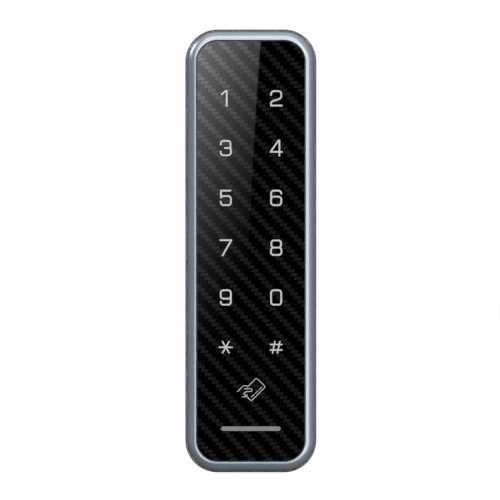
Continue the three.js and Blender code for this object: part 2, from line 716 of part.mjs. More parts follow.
function wallBracket() {
  const tongue = TONGUE_WIDTH / 2;
  const holes = [
    slotPoints(0, WALL_SCREW.pitch / 2, WALL_SCREW.slotLength, WALL_SCREW.slotWidth),
    slotPoints(0, -WALL_SCREW.pitch / 2, WALL_SCREW.slotWidth, WALL_SCREW.slotLength),
    roundedPoints(CABLE_WINDOW.width, CABLE_WINDOW.height, CABLE_WINDOW.corner, 3, 0, CABLE.z),
    circlePoints(TAMPER.x, TAMPER.z, TAMPER.window, 20),
  ];
  const centre = (BRACKET.top + BRACKET.shoulder) / 2;
  const tall = BRACKET.top - BRACKET.shoulder;
  const outline = roundedPoints(BRACKET.width, tall, BRACKET.corner, 4, 0, centre);
  const sheet = plate(outline, Y.wall, Y.bracketFront, holes);
  const neck = block(-tongue, tongue, Y.wall, Y.bracketFront, BRACKET.bottom, BRACKET.shoulder + JOIN);
  const tab = block(-tongue, tongue, Y.wall, LOCK.tabFront, BRACKET.bottom, BRACKET.bottom + BRACKET.sheet);
  const hooks = [-1, 1].map((side) => {
    const x = side * HOOK.x;
    const lip = HOOK.reach + BRACKET.sheet;
    return sectionBar(
      [
        [HOOK.reach, BRACKET.top - BRACKET.sheet],
        [HOOK.root, BRACKET.top - BRACKET.sheet],
        [HOOK.root, BRACKET.top],
        [lip, BRACKET.top],
        [lip, HOOK.tip],
        [HOOK.reach, HOOK.tip],
      ],
      x - HOOK.width / 2,
      x + HOOK.width / 2,
    );
  });
  const threads = barZ(LOCK.y, LOCK.shank + 0.3, BRACKET.bottom - PAST, BRACKET.bottom + 2 * PAST, 20);
  return combine(sheet, [neck, tab, ...hooks], [threads]);
}

// --------------------------------------------------------------------------- assembly

const reader = new THREE.Group();

function add(name, geometry, material) {
  const mesh = new THREE.Mesh(geometry, material.clone());
  mesh.name = name;
  reader.add(mesh);
}

add("front_panel", frontPanel(), MATERIAL.panel);
add("panel_adhesive", panelAdhesive(), MATERIAL.adhesive);
add("bezel_frame", bezelFrame(), MATERIAL.bezel);
add("touch_film", touchFilm(), MATERIAL.film);
add("light_mask", lightMask(), MATERIAL.mask);
add("antenna_coil", ringBand(COIL), MATERIAL.copper);
add("ferrite_sheet", ringBand(FERRITE), MATERIAL.ferrite);
add("main_board", mainBoard(), MATERIAL.board);

keyPlaces.forEach(([x, z], index) => add(`key_lamp_${index + 1}`, lamp(x, z), MATERIAL.led));
add("card_lamp", lamp(0, CARD_Z), MATERIAL.led);
add("status_lamp", lamp(0, STATUS_Z), MATERIAL.led);

add("microcontroller", chip(-9, 4, 10, 10, 1.4), MATERIAL.chip);
add("card_reader_chip", chip(-8, -20, 6, 6, 0.9), MATERIAL.chip);
add("touch_chip", chip(8, 52, 6, 6, 0.9), MATERIAL.chip);
add("crystal_can", crystalCan(9, -6), MATERIAL.can);
add("buzzer", buzzer(-9, -42), MATERIAL.chip);
add("capacitor_1", capacitor(12, 8), MATERIAL.can);
add("capacitor_2", capacitor(12, 17), MATERIAL.can);
add("inductor", inductor(-12, 22), MATERIAL.ferrite);
add("regulator", regulator(-10, 37), MATERIAL.chip);
add("cable_header", cableHeader(3, 34), MATERIAL.connector);
add("tail_connector", tailConnector(), MATERIAL.connector);

add("tamper_switch", tamperSwitch(), MATERIAL.chip);
add("tamper_spring", tamperSpring(), MATERIAL.screw);
add("tamper_plunger", tamperPlunger(), MATERIAL.plunger);

BOARD_SCREW_Z.forEach((z, index) => {
  const front = Y.boardBack + 0.1;
  const screw = screwY(0, z, { ...BOARD_SCREW, front, back: front + BOARD_SCREW.thick });
  add(`board_screw_${index + 1}`, screw, MATERIAL.screw);
});

add("rear_seal", rearSeal(), MATERIAL.rubber);
add("rear_cover", rearCover(), MATERIAL.cover);
coverScrewPlaces.forEach(([x, z], index) => {
  add(`cover_screw_${index + 1}`, screwY(x, z, COVER_SCREW), MATERIAL.screw);
});
add("cable_grommet", cableGrommet(), MATERIAL.rubber);

add("wall_bracket", wallBracket(), MATERIAL.steel);
add("lock_washer", lockWasher(), MATERIAL.screw);
add("lock_screw", lockScrew(), MATERIAL.screw);

export default reader;
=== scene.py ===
"""The looks of a keypad access reader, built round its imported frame.

Lengths are in millimetres while a piece is being shaped, and each piece is scaled to metres when it
is fitted to its body. X runs across the front, Z is up, the wall is the plane y = 0 and the front
faces -Y.
"""

import math

import bmesh
import bpy
from mathutils import Matrix, Vector
from mathutils.geometry import delaunay_2d_cdt


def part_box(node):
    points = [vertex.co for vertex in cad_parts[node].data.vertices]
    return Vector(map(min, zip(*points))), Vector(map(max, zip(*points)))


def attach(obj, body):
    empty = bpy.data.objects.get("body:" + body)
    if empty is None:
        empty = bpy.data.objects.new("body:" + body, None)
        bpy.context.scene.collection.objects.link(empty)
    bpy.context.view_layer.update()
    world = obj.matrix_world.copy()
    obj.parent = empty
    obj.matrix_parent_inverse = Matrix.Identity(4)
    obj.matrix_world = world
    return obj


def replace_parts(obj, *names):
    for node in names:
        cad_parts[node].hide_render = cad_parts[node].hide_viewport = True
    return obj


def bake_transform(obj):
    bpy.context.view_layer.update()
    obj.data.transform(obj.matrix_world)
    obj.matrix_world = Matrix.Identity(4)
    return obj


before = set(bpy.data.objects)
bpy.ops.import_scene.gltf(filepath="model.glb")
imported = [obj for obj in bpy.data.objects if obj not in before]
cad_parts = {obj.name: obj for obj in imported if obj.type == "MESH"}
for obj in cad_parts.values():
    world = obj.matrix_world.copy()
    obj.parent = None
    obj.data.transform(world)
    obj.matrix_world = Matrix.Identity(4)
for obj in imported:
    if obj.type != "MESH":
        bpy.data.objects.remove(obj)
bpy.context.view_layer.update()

MM = 0.001


def box_mm(node):
    """A CAD node's lowest and highest corners, in millimetres."""
    low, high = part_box(node)
    return [round(v / MM, 3) for v in low], [round(v / MM, 3) for v in high]


# ----------------------------------------------------------------------- driving dimensions

cover_low, cover_high = box_mm("rear_cover")
bezel_low, bezel_high = box_mm("bezel_frame")
panel_low, panel_high = box_mm("front_panel")
bracket_low, bracket_high = box_mm("wall_bracket")
grommet_low, grommet_high = box_mm("cable_grommet")
plunger_low, plunger_high = box_mm("tamper_plunger")

WIDTH = cover_high[0] - cover_low[0]
HEIGHT = cover_high[2] - cover_low[2]
CORNER = 10.85  # radius of the outline's corners
FINE = 20  # steps in each quarter-round corner

SKIRT = cover_high[1]  # back edge of the rear cover
CREST = bezel_low[1]  # foremost line of the bezel
BEZEL_BACK = bezel_high[1]
SPLIT = BEZEL_BACK + 0.3  # front rim of the rear cover
SHOULDER = CREST + 3.8  # where the bezel's side turns into its rounded front
GLASS = panel_low[1]  # front face of the panel
PANEL_BACK = panel_high[1]
FLOOR_BACK = SKIRT - 1.9
FLOOR_FRONT = SKIRT - 3.9
LEDGE_FRONT = PANEL_BACK + 0.3
LEDGE_BACK = LEDGE_FRONT + 1.5

BEZEL_INSET = bezel_low[0] - cover_low[0]
PANEL_INSET = panel_low[0] - cover_low[0]
OPENING_INSET = PANEL_INSET - 0.3
RECESS_INSET = 1.8
CAVITY_INSET = 2.3
LEDGE_INSET = 5.7

KEY_PITCH_X = 16.9
KEY_PITCH_Z = 16.7
KEY_TOP = 51.2
KEY_ROWS = ["12", "34", "56", "78", "90", "*#"]
CARD_PLACE = (0.1, -46.5)
STATUS_PLACE = (0.0, -59.6)
INK = 0.03  # how far the printed legends stand out of the panel

COVER_SCREW_X = 15.4
COVER_SCREW_Z = 67.9
HOOK_X = 8.0
HOOK_WIDTH = 6.0
LOCK_Y = -4.6
CABLE_Z = (grommet_low[2] + grommet_high[2]) / 2
TAMPER = ((plunger_low[0] + plunger_high[0]) / 2, (plunger_low[2] + plunger_high[2]) / 2)
SCREW_HOLE = 1.35  # radius of the holes for the cover's screws
SLOT_Z = 41.65  # height of the wall screws' slots above and below the middle
PAST = 1.0  # how far a cutter runs past the face it opens
JOIN = 0.5  # how far joined solids run into each other


# ---------------------------------------------------------------------------- flat outlines


def rounded_rectangle(width, height, corner, steps=FINE, x=0.0, z=0.0):
    """Points of a rounded rectangle, the same number for every size."""
    points = []
    for quarter in range(4):
        side_x = 1 if quarter in (0, 3) else -1
        side_z = 1 if quarter < 2 else -1
        for step in range(steps + 1):
            angle = (quarter + step / steps) * math.pi / 2
            points.append(
                (
                    x + side_x * (width / 2 - corner) + corner * math.cos(angle),
                    z + side_z * (height / 2 - corner) + corner * math.sin(angle),
                )
            )
    return points


def body_outline(inset, steps=FINE):
    """The body's outline, moved in by an inset."""
    return rounded_rectangle(WIDTH - 2 * inset, HEIGHT - 2 * inset, CORNER - inset, steps)


def circle(x, z, radius, sides=48):
    turns = [2 * math.pi * side / sides for side in range(sides)]
    return [(x + radius * math.cos(a), z + radius * math.sin(a)) for a in turns]


def slot_outline(x, z, width, height):
    return rounded_rectangle(width, height, min(width, height) / 2, 12, x, z)


def filleted(corners, closed=False, steps=6):
    """Points along straight runs, with each corner (a, b, radius) rounded by an arc."""
    points = []
    count = len(corners)
    for index, (a, b, radius) in enumerate(corners):
        here = Vector((a, b))
        if radius == 0 or (not closed and index in (0, count - 1)):
            points.append(here)
            continue
        back = (Vector(corners[index - 1][:2]) - here).normalized()
        on = (Vector(corners[(index + 1) % count][:2]) - here).normalized()
        half = back.angle(on) / 2
        centre = here + (back + on).normalized() * (radius / math.sin(half))
        start = here + back * (radius / math.tan(half)) - centre
        end = here + on * (radius / math.tan(half)) - centre
        turn = math.copysign(math.pi - 2 * half, start.x * end.y - start.y * end.x)
        for step in range(steps + 1):
            points.append(centre + Matrix.Rotation(turn * step / steps, 2) @ start)
    return [tuple(point) for point in points]


# -------------------------------------------------------------------------------- solids


def make_object(name, points, faces):
    """A mesh object in millimetres with its faces pointing out."""
    mesh = bpy.data.meshes.new(name)
    mesh.from_pydata(points, [], faces)
    shape = bmesh.new()
    shape.from_mesh(mesh)
    bmesh.ops.remove_doubles(shape, verts=shape.verts, dist=1e-5)
    bmesh.ops.recalc_face_normals(shape, faces=shape.faces)
    shape.to_mesh(mesh)
    shape.free()
    made = bpy.data.objects.new(name, mesh)
    bpy.context.scene.collection.objects.link(made)
    return made


def strip_faces(rings, around, closed_rings, closed_around=True):
    """Quads between neighbouring rings of points."""
    faces = []
    for i in range(rings if closed_rings else rings - 1):
        j = (i + 1) % rings
        for k in range(around if closed_around else around - 1):
            m = (k + 1) % around
            faces.append((i * around + k, i * around + m, j * around + m, j * around + k))
    return faces


def swept(name, section, outline=body_outline, capped=False):
    """A section of (inset, y) points carried round concentric outlines.

    The section closes on itself, or is capped with a flat face at each end."""
    points = [(x, y, z) for inset, y in section for x, z in outline(inset)]
    around = len(points) // len(section)
    faces = strip_faces(len(section), around, closed_rings=not capped)
    if capped:
        faces.append(tuple(range(around)))
        faces.append(tuple(range(len(points) - around, len(points))))
    return make_object(name, points, faces)


PLACE = {
    "X": lambda a, b, along: (along, a, b),
    "Y": lambda a, b, along: (a, along, b),
    "Z": lambda a, b, along: (a, b, along),
}


def prism(name, outline, low, high, axis="Y", shrink=1.0):
    """An outline carried along an axis; its far end may be smaller."""
    middle_a = sum(a for a, _ in outline) / len(outline)
    middle_b = sum(b for _, b in outline) / len(outline)
    place = PLACE[axis]
    points = [place(a, b, low) for a, b in outline]
    points += [
        place(middle_a + (a - middle_a) * shrink, middle_b + (b - middle_b) * shrink, high)
        for a, b in outline
    ]
    count = len(outline)
    faces = strip_faces(2, count, closed_rings=False)
    faces += [tuple(range(count)), tuple(range(count, 2 * count))]
    return make_object(name, points, faces)


def block(x0, x1, y0, y1, z0, z1):
    return prism("block", [(x0, z0), (x1, z0), (x1, z1), (x0, z1)], y0, y1)


def bar(x, z, radius, y0, y1, sides=48):
    """A round bar along Y."""
    return prism("bar", circle(x, z, radius, sides), y0, y1)


def turned(name, profile, axis="Y", centre=(0.0, 0.0), sides=64, pitch=0.0):
    """A profile of (radius, along) or (radius, along, thread depth) turned about an axis."""
    place = PLACE[axis]
    points = []
    for row in profile:
        radius, along = row[0], row[1]
        depth = row[2] if len(row) > 2 else 0.0
        for side in range(sides):
            share = side / sides
            cut = depth * abs(2 * ((along / pitch - share) % 1) - 1) if depth else 0.0
            angle = 2 * math.pi * share
            reach = radius - cut
            a = centre[0] + reach * math.cos(angle)
            points.append(place(a, centre[1] + reach * math.sin(angle), along))
    return make_object(name, points, strip_faces(len(profile), sides, closed_rings=False))


def settle(piece):
    """Applies a piece's modifiers to its mesh."""
    graph = bpy.context.evaluated_depsgraph_get()
    mesh = bpy.data.meshes.new_from_object(piece.evaluated_get(graph))
    old = piece.data
    piece.modifiers.clear()
    piece.data = mesh
    bpy.data.meshes.remove(old)
    return piece


def combine(piece, others, operation="UNION"):
    """Joins other solids to a piece, or cuts them out of it."""
    for other in others:
        modifier = piece.modifiers.new(operation.lower(), "BOOLEAN")
        modifier.operation = operation
        modifier.solver = "EXACT"
        modifier.object = other
    settle(piece)
    for other in others:
        bpy.data.objects.remove(other)
    return piece


def cut(piece, cutters):
    return combine(piece, cutters, "DIFFERENCE")


def soften(piece, width, angle=50, segments=2):
    """Rounds the edges that are sharper than an angle."""
    modifier = piece.modifiers.new("soften", "BEVEL")
    modifier.width = width
    modifier.segments = segments
    modifier.limit_method = "ANGLE"
    modifier.angle_limit = math.radians(angle)
    modifier.harden_normals = False
    return settle(piece)


def smooth(piece, angle=35):
    """Smooth shading, with creases where faces meet at more than an angle."""
    shape = bmesh.new()
    shape.from_mesh(piece.data)
    for face in shape.faces:
        face.smooth = True
    for edge in shape.edges:
        turned_by = edge.calc_face_angle(0.0)
        edge.smooth = turned_by < math.radians(angle)
    shape.to_mesh(piece.data)
    shape.free()
    weighted = piece.modifiers.new("normals", "WEIGHTED_NORMAL")
    weighted.keep_sharp = True
    return piece


def fit(piece, body, material, nodes=(), crease=35):
    """Scales a piece to metres, paints it and makes it ride on its body in place of its nodes."""
    piece.data.transform(Matrix.Scale(MM, 4))
    piece.data.materials.clear()
    piece.data.materials.append(material)
    smooth(piece, crease)
    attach(piece, body)
    if nodes:
        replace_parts(piece, *nodes)
    return piece


# ------------------------------------------------------------------------------ materials


def srgb(red, green, blue):
    """A display colour of 0 to 255 as the linear colour that a shader takes."""
    return tuple(
        v / 255 / 12.92 if v <= 10 else ((v / 255 + 0.055) / 1.055) ** 2.4
        for v in (red, green, blue)
    )


class Nodes:
    """A node tree that short calls add to."""

    def __init__(self, tree):
        self.tree = tree

    def node(self, kind, links=None, **settings):
        """Adds a node; links maps an input's name or number to a socket or a value."""
        made = self.tree.nodes.new("ShaderNode" + kind)
        for key, value in settings.items():
            setattr(made, key, value)
        for key, value in (links or {}).items():
            if isinstance(value, bpy.types.NodeSocket):
                self.tree.links.new(value, made.inputs[key])
            else:
                made.inputs[key].default_value = value
        return made

    def math(self, operation, a, b=0.0, c=0.0):
        return self.node("Math", {0: a, 1: b, 2: c}, operation=operation).outputs[0]


class Finish(Nodes):
    """A material whose nodes are added by short calls."""

    def __init__(self, name, colour, roughness, metallic=0.0, **sockets):
        self.material = bpy.data.materials.new(name)
        self.material.use_nodes = True
        super().__init__(self.material.node_tree)
        self.shader = self.tree.nodes["Principled BSDF"]
        self.shader.inputs["Base Color"].default_value = (*colour, 1)
        self.shader.inputs["Roughness"].default_value = roughness
        self.shader.inputs["Metallic"].default_value = metallic
        for socket, value in sockets.items():
            self.shader.inputs[socket.replace("_", " ")].default_value = value
        self.place = self.node("TexCoord").outputs["Object"]

    def grain(self, size, stretch=(1, 1, 1), detail=3.0):
        """Noise whose features are about size millimetres across, times the stretch."""
        scale = tuple(1 / (size * MM * s) for s in stretch)
        coordinates = self.node("Mapping", {"Vector": self.place, "Scale": scale})
        links = {"Vector": coordinates.outputs[0], "Scale": 1.0, "Detail": detail}
        return self.node("TexNoise", links).outputs["Fac"]

    def cells(self, size, feature="F1"):
        links = {"Vector": self.place, "Scale": 1 / (size * MM)}
        return self.node("TexVoronoi", links, feature=feature)

    def spread(self, value, low, high, from_low=0.3, from_high=0.7):
        """Carries a value's usual range to another range."""
        links = {"Value": value, 1: from_low, 2: from_high, 3: low, 4: high}
        return self.node("MapRange", links).outputs[0]

    def blend(self, share, first, second):
        """A colour between two, each a linear colour or a socket."""
        mixed = self.node("Mix", data_type="RGBA")
        self.tree.links.new(share, mixed.inputs[0])
        for socket, colour in ((mixed.inputs[6], first), (mixed.inputs[7], second)):
            if isinstance(colour, bpy.types.NodeSocket):
                self.tree.links.new(colour, socket)
            else:
                socket.default_value = (*colour, 1)
        return mixed.outputs[2]

    def feed(self, socket, value):
        self.tree.links.new(value, self.shader.inputs[socket])
        return self

    def tint(self, share, first, second):
        return self.feed("Base Color", self.blend(share, first, second))

    def mottle(self, size, first, second, stretch=(1, 1, 1)):
        """Lets the colour drift between two over patches of a size."""
        return self.tint(self.spread(self.grain(size, stretch), 0, 1), first, second)

    def wear(self, size, low, high):
        """Lets the roughness drift over patches of a size."""
        return self.feed("Roughness", self.spread(self.grain(size), low, high))

    def relief(self, height, depth, edge=0.0):
        """Bumps of a depth in millimetres, over edges softened by a radius."""
        links = {"Height": height, "Distance": depth * MM, "Strength": 1.0}
        if edge:
            soft = self.node("Bevel", {"Radius": edge * MM}, samples=6)
            links["Normal"] = soft.outputs[0]
        return self.feed("Normal", self.node("Bump", links).outputs[0])


def painted_metal():
    """Satin slate-blue metallic paint with fine flakes, a faint orange peel and a thin lacquer."""
    finish = Finish(
        "satin_slate_paint", (0.316, 0.354, 0.4), 0.3, 0.9, Coat_Weight=0.1, Coat_Roughness=0.14
    )
    flakes = finish.cells(0.09).outputs["Color"]
    sparkle = finish.math("MULTIPLY", finish.spread(flakes, 0.0, 1.0, 0.0, 1.0), 0.35)
    drift = finish.math("MULTIPLY", finish.spread(finish.grain(9.0), 0.35, 0.65), 0.6)
    finish.tint(finish.math("ADD", sparkle, drift), (0.285, 0.32, 0.36), (0.35, 0.39, 0.44))
    finish.wear(1.4, 0.27, 0.33)
    return finish.relief(finish.grain(0.9, detail=2.0), 0.004).material


def woven_panel():
    """A polished sheet over a printed twill: rows of soft grey dashes on black."""
    row_pitch, dash_height, period, dash, step = 1.288, 1.05, 6.0, 2.4, 1.2
    first_row, first_dash = 56.99, -10.66
    finish = Finish("gloss_weave_panel", (0.002, 0.002, 0.002), 0.02, IOR=1.5)
    math_node = finish.math
    x, _, z = finish.node("SeparateXYZ", {0: finish.place}).outputs
    down = math_node("DIVIDE", math_node("SUBTRACT", first_row * MM, z), row_pitch * MM)
    along = math_node("DIVIDE", math_node("SUBTRACT", x, first_dash * MM), period * MM)
    stepped = math_node("MULTIPLY", math_node("FLOOR", down), step / period)
    along = math_node("FRACT", math_node("SUBTRACT", along, stepped))
    in_column = math_node("LESS_THAN", along, dash / period)
    in_row = math_node("LESS_THAN", math_node("FRACT", down), dash_height / row_pitch)
    in_dash = math_node("MULTIPLY", in_column, in_row)
    fibres = finish.grain(0.12, stretch=(14, 14, 1), detail=2.0)
    thread = finish.blend(finish.spread(fibres, 0, 1), srgb(24, 24, 25), srgb(28, 28, 28))
    finish.tint(in_dash, srgb(1, 1, 1), thread)
    finish.feed("Specular IOR Level", math_node("MULTIPLY_ADD", in_dash, 0.25, 0.5))
    return finish.wear(14.0, 0.008, 0.014).material


def shades(colour, paler, darker):
    """A colour made darker and paler by two factors."""
    return tuple(v * darker for v in colour), tuple(min(1.0, v * paler) for v in colour)


def printed_ink(name, colour):
    """A light print under the panel's polish, with a slight unevenness."""
    finish = Finish(name, colour, 0.03, IOR=1.5)
    return finish.mottle(0.35, *shades(colour, 1.05, 0.96)).wear(3.0, 0.02, 0.05).material


def moulded(name, colour, roughness=0.5, texture=0.22, depth=0.012):
    """Injection-moulded plastic with a spark-eroded texture and faint flow marks."""
    finish = Finish(name, colour, roughness)
    finish.mottle(6.0, *shades(colour, 1.1, 0.9), stretch=(1, 1, 2.5))
    finish.wear(0.8, roughness * 0.92, roughness * 1.1)
    return finish.relief(finish.grain(texture, detail=4.0), depth, 0.12).material


def plated_steel(name, colour, rolled=(1, 1, 10), roughness=0.34):
    """Zinc-plated steel: faint rolling lines, passivation tints and small crystals."""
    finish = Finish(name, colour, roughness, 1.0)
    patches = finish.spread(finish.grain(7.0), 0, 0.7)
    spangle = finish.math("MULTIPLY", finish.cells(2.6).outputs["Color"], 0.3)
    warm = tuple(min(1.0, v * f) for v, f in zip(colour, (1.1, 1.06, 0.98)))
    cool = tuple(v * f for v, f in zip(colour, (0.84, 0.9, 0.98)))
    finish.tint(finish.math("ADD", patches, spangle), warm, cool)
    lines = finish.grain(0.25, stretch=rolled, detail=4.0)
    crystals = finish.spread(finish.cells(0.7).outputs["Distance"], 0.0, 1.0, 0.0, 1.0)
    mixed = finish.math("ADD", finish.math("MULTIPLY", lines, 0.7), finish.math("MULTIPLY", crystals, 0.3))
    finish.feed("Roughness", finish.spread(mixed, roughness * 0.75, roughness * 1.35))
    return finish.relief(lines, 0.003, 0.08).material


def rubber():
    """Soft black rubber, matt with a fine skin and a little bloom."""
    finish = Finish("black_rubber", (0.018, 0.018, 0.019), 0.72)
    finish.mottle(2.5, (0.014, 0.014, 0.015), (0.026, 0.026, 0.027)).wear(0.5, 0.64, 0.82)
    return finish.relief(finish.grain(0.12), 0.006, 0.08).material


def solder_mask():
    """Green solder mask over copper traces, which stand slightly proud."""
    finish = Finish("green_solder_mask", (0.008, 0.09, 0.035), 0.3, Coat_Weight=0.4, Coat_Roughness=0.2)
    routes = finish.cells(1.7, "DISTANCE_TO_EDGE").outputs["Distance"]
    trace = finish.math("LESS_THAN", routes, 0.09)
    finish.tint(trace, (0.006, 0.075, 0.028), (0.02, 0.17, 0.06)).wear(1.0, 0.24, 0.36)
    return finish.relief(trace, 0.02).material


def amber_film():
    """Amber polyimide with a grid of copper electrodes showing through."""
    amber = (0.42, 0.19, 0.03)
    finish = Finish("amber_film", amber, 0.24, Coat_Weight=0.5, Coat_Roughness=0.1)
    grid = finish.cells(2.4, "DISTANCE_TO_EDGE").outputs["Distance"]
    trace = finish.math("LESS_THAN", grid, 0.06)
    finish.tint(trace, amber, (0.62, 0.28, 0.08)).wear(1.6, 0.18, 0.3)
    return finish.relief(trace, 0.015).material


def wound_copper():
    """Enamelled copper wire, darker where it has aged."""
    finish = Finish("enamelled_copper", (0.66, 0.27, 0.11), 0.26, 1.0)
    finish.mottle(3.0, (0.55, 0.21, 0.08), (0.72, 0.31, 0.14)).wear(0.4, 0.2, 0.34)
    return finish.relief(finish.grain(0.1, detail=1.0), 0.003).material


def milky_lens():
    """A cloudy lamp lens with a soft warm body."""
    finish = Finish("milky_lens", (0.88, 0.84, 0.66), 0.22, Coat_Weight=0.6, Coat_Roughness=0.08)
    finish.mottle(0.8, (0.84, 0.79, 0.6), (0.93, 0.9, 0.74)).wear(0.5, 0.16, 0.28)
    return finish.relief(finish.grain(0.3), 0.002).material


# -------------------------------------------------------------------- front of the reader


def bezel():
    """The die-cast frame: a straight side, a rounded front, a soft lip and the panel's ledge."""
    lip, back_round = 0.1, 0.15
    roll_inset = 3.3  # how far in the rounded front would reach before it lay flat
    steps = 28
    boss = 2.8  # radius of the boss round each screw hole
    front_inset = OPENING_INSET - lip
    last = math.acos(1 - (front_inset - BEZEL_INSET) / roll_inset)
    section = filleted(
        [
            (BEZEL_INSET, BEZEL_BACK, back_round),
            (CAVITY_INSET, BEZEL_BACK, back_round),
            (CAVITY_INSET, LEDGE_BACK, 0.3),
            (LEDGE_INSET, LEDGE_BACK, 0.2),
            (LEDGE_INSET, LEDGE_FRONT, 0.2),
            (OPENING_INSET, LEDGE_FRONT, 0.2),
            (OPENING_INSET, CREST, lip),
            (front_inset, CREST, 0),
        ]
    )
    section.pop()
    for step in range(steps + 1):
        angle = (1 - step / steps) * last
        inset = BEZEL_INSET + roll_inset * (1 - math.cos(angle))
        section.append((inset, SHOULDER + (CREST - SHOULDER) * math.sin(angle)))
    section.append((BEZEL_INSET, BEZEL_BACK - back_round))
    section[0] = (BEZEL_INSET + back_round, BEZEL_BACK)
    piece = swept("bezel_shell", section)
    screws = cover_screw_places()
    combine(piece, [bar(x, z, boss, BEZEL_BACK, LEDGE_BACK - JOIN) for x, z in screws])
    cut(piece, [bar(x, z, SCREW_HOLE, BEZEL_BACK + PAST, LEDGE_BACK + 1.0) for x, z in screws])
    return fit(piece, "reader", painted_metal(), ["bezel_frame"], crease=30)


def panel_glass():
    """The polished front panel, with a rounded edge."""
    edge = 0.06
    flat = PANEL_INSET + 1.0  # where the flat faces are capped
    section = filleted(
        [
            (flat, PANEL_BACK, 0),
            (PANEL_INSET, PANEL_BACK, 0.1),
            (PANEL_INSET, GLASS, edge),
            (PANEL_INSET + 2 * edge, GLASS, 0),
            (flat, GLASS, 0),
        ]
    )
    piece = swept("panel_glass", section, capped=True)
    return fit(piece, "reader", woven_panel(), ["front_panel"], crease=60)


def flat_union(name, polygons, back, front):
    """One thin solid over outlines that may overlap."""
    points, loops = [], []
    for polygon in polygons:
        area = sum(a[0] * b[1] - a[1] * b[0] for a, b in zip(polygon, polygon[1:] + polygon[:1]))
        ordered = polygon if area > 0 else polygon[::-1]
        loops.append(list(range(len(points), len(points) + len(ordered))))
        points += [Vector(point) for point in ordered]
    flat, _, faces, _, _, sources = delaunay_2d_cdt(points, [], loops, 1, 1e-4)
    kept = [face for face, source in zip(faces, sources) if source]
    sides = {}
    for face in kept:
        for a, b in zip(face, face[1:] + face[:1]):
            sides[frozenset((a, b))] = None if frozenset((a, b)) in sides else (a, b)
    count = len(flat)
    solid = [(x, back, z) for x, z in flat] + [(x, front, z) for x, z in flat]
    quads = [tuple(face) for face in kept] + [tuple(count + v for v in face) for face in kept]
    quads += [(s[0], s[1], count + s[1], count + s[0]) for s in sides.values() if s]
    piece = make_object(name, solid, quads)
    shape = bmesh.new()
    shape.from_mesh(piece.data)
    loose = [vert for vert in shape.verts if not vert.link_faces]
    bmesh.ops.delete(shape, geom=loose, context="VERTS")
    bmesh.ops.dissolve_limit(shape, angle_limit=0.01, verts=shape.verts, edges=shape.edges)
    shape.to_mesh(piece.data)
    shape.free()
    return piece


def ribbon(points, width, closed=False):
    """Quads of a line with square ends and sharp joints."""
    line = [Vector(point) for point in points]
    count = len(line)
    rails = []
    for index, here in enumerate(line):
        into = (here - line[index - 1]).normalized() if closed or index else None
        out = (line[(index + 1) % count] - here).normalized() if closed or index < count - 1 else None
        along = ((into or out) + (out or into)).normalized()
        normal = Vector((-along.y, along.x))
        straight = into or out
        reach = width / 2 / max(0.35, normal.dot(Vector((-straight.y, straight.x))))
        rails.append((here + normal * reach, here - normal * reach))
    pairs = list(zip(rails, rails[1:] + rails[:1])) if closed else list(zip(rails, rails[1:]))
    return [[tuple(a[0]), tuple(a[1]), tuple(b[1]), tuple(b[0])] for a, b in pairs]


def pen(points, width):
    """A line with round ends and joints."""
    discs = [circle(x, z, width / 2, 12) for x, z in points]
    return discs + [quad for a, b in zip(points, points[1:]) for quad in ribbon([a, b], width)]


# A key legend is about 4.1 wide and 5.6 high, drawn about its middle.
STROKE = 0.56
SIDE = 1.705  # the lines' middles, from the legend's middle
TOP = 2.43
ROUND = 0.95


def bowl(bottom, top, side=SIDE, corner=ROUND):
    """A closed squared-off loop."""
    middle = (bottom + top) / 2
    return ribbon(rounded_rectangle(2 * side, top - bottom, corner, 8, 0, middle), STROKE, True)


def line(*corners):
    return ribbon(filleted(corners, steps=8), STROKE)


def star(arm=2.36, width=0.47):
    """Six arms, one of them level."""
    half = width / 2
    points = []
    for index in range(6):
        angle = index * math.pi / 3
        along = Vector((math.cos(angle), math.sin(angle)))
        across = Vector((-along.y, along.x)) * half
        points += [tuple(along * arm - across), tuple(along * arm + across)]
        notch = angle + math.pi / 6
        points.append((width * math.cos(notch), width * math.sin(notch)))
    return [points]


def hash_sign(lean=0.21, width=0.45, arm=2.1, row=0.92, column=0.83):
    """Two level lines and two leaning ones."""
    level = [ribbon([(-arm, z), (arm, z)], width)[0] for z in (row, -row)]
    tilt = lean * arm
    leaning = [ribbon([(x - tilt, -arm), (x + tilt, arm)], width)[0] for x in (-column, column)]
    return level + leaning


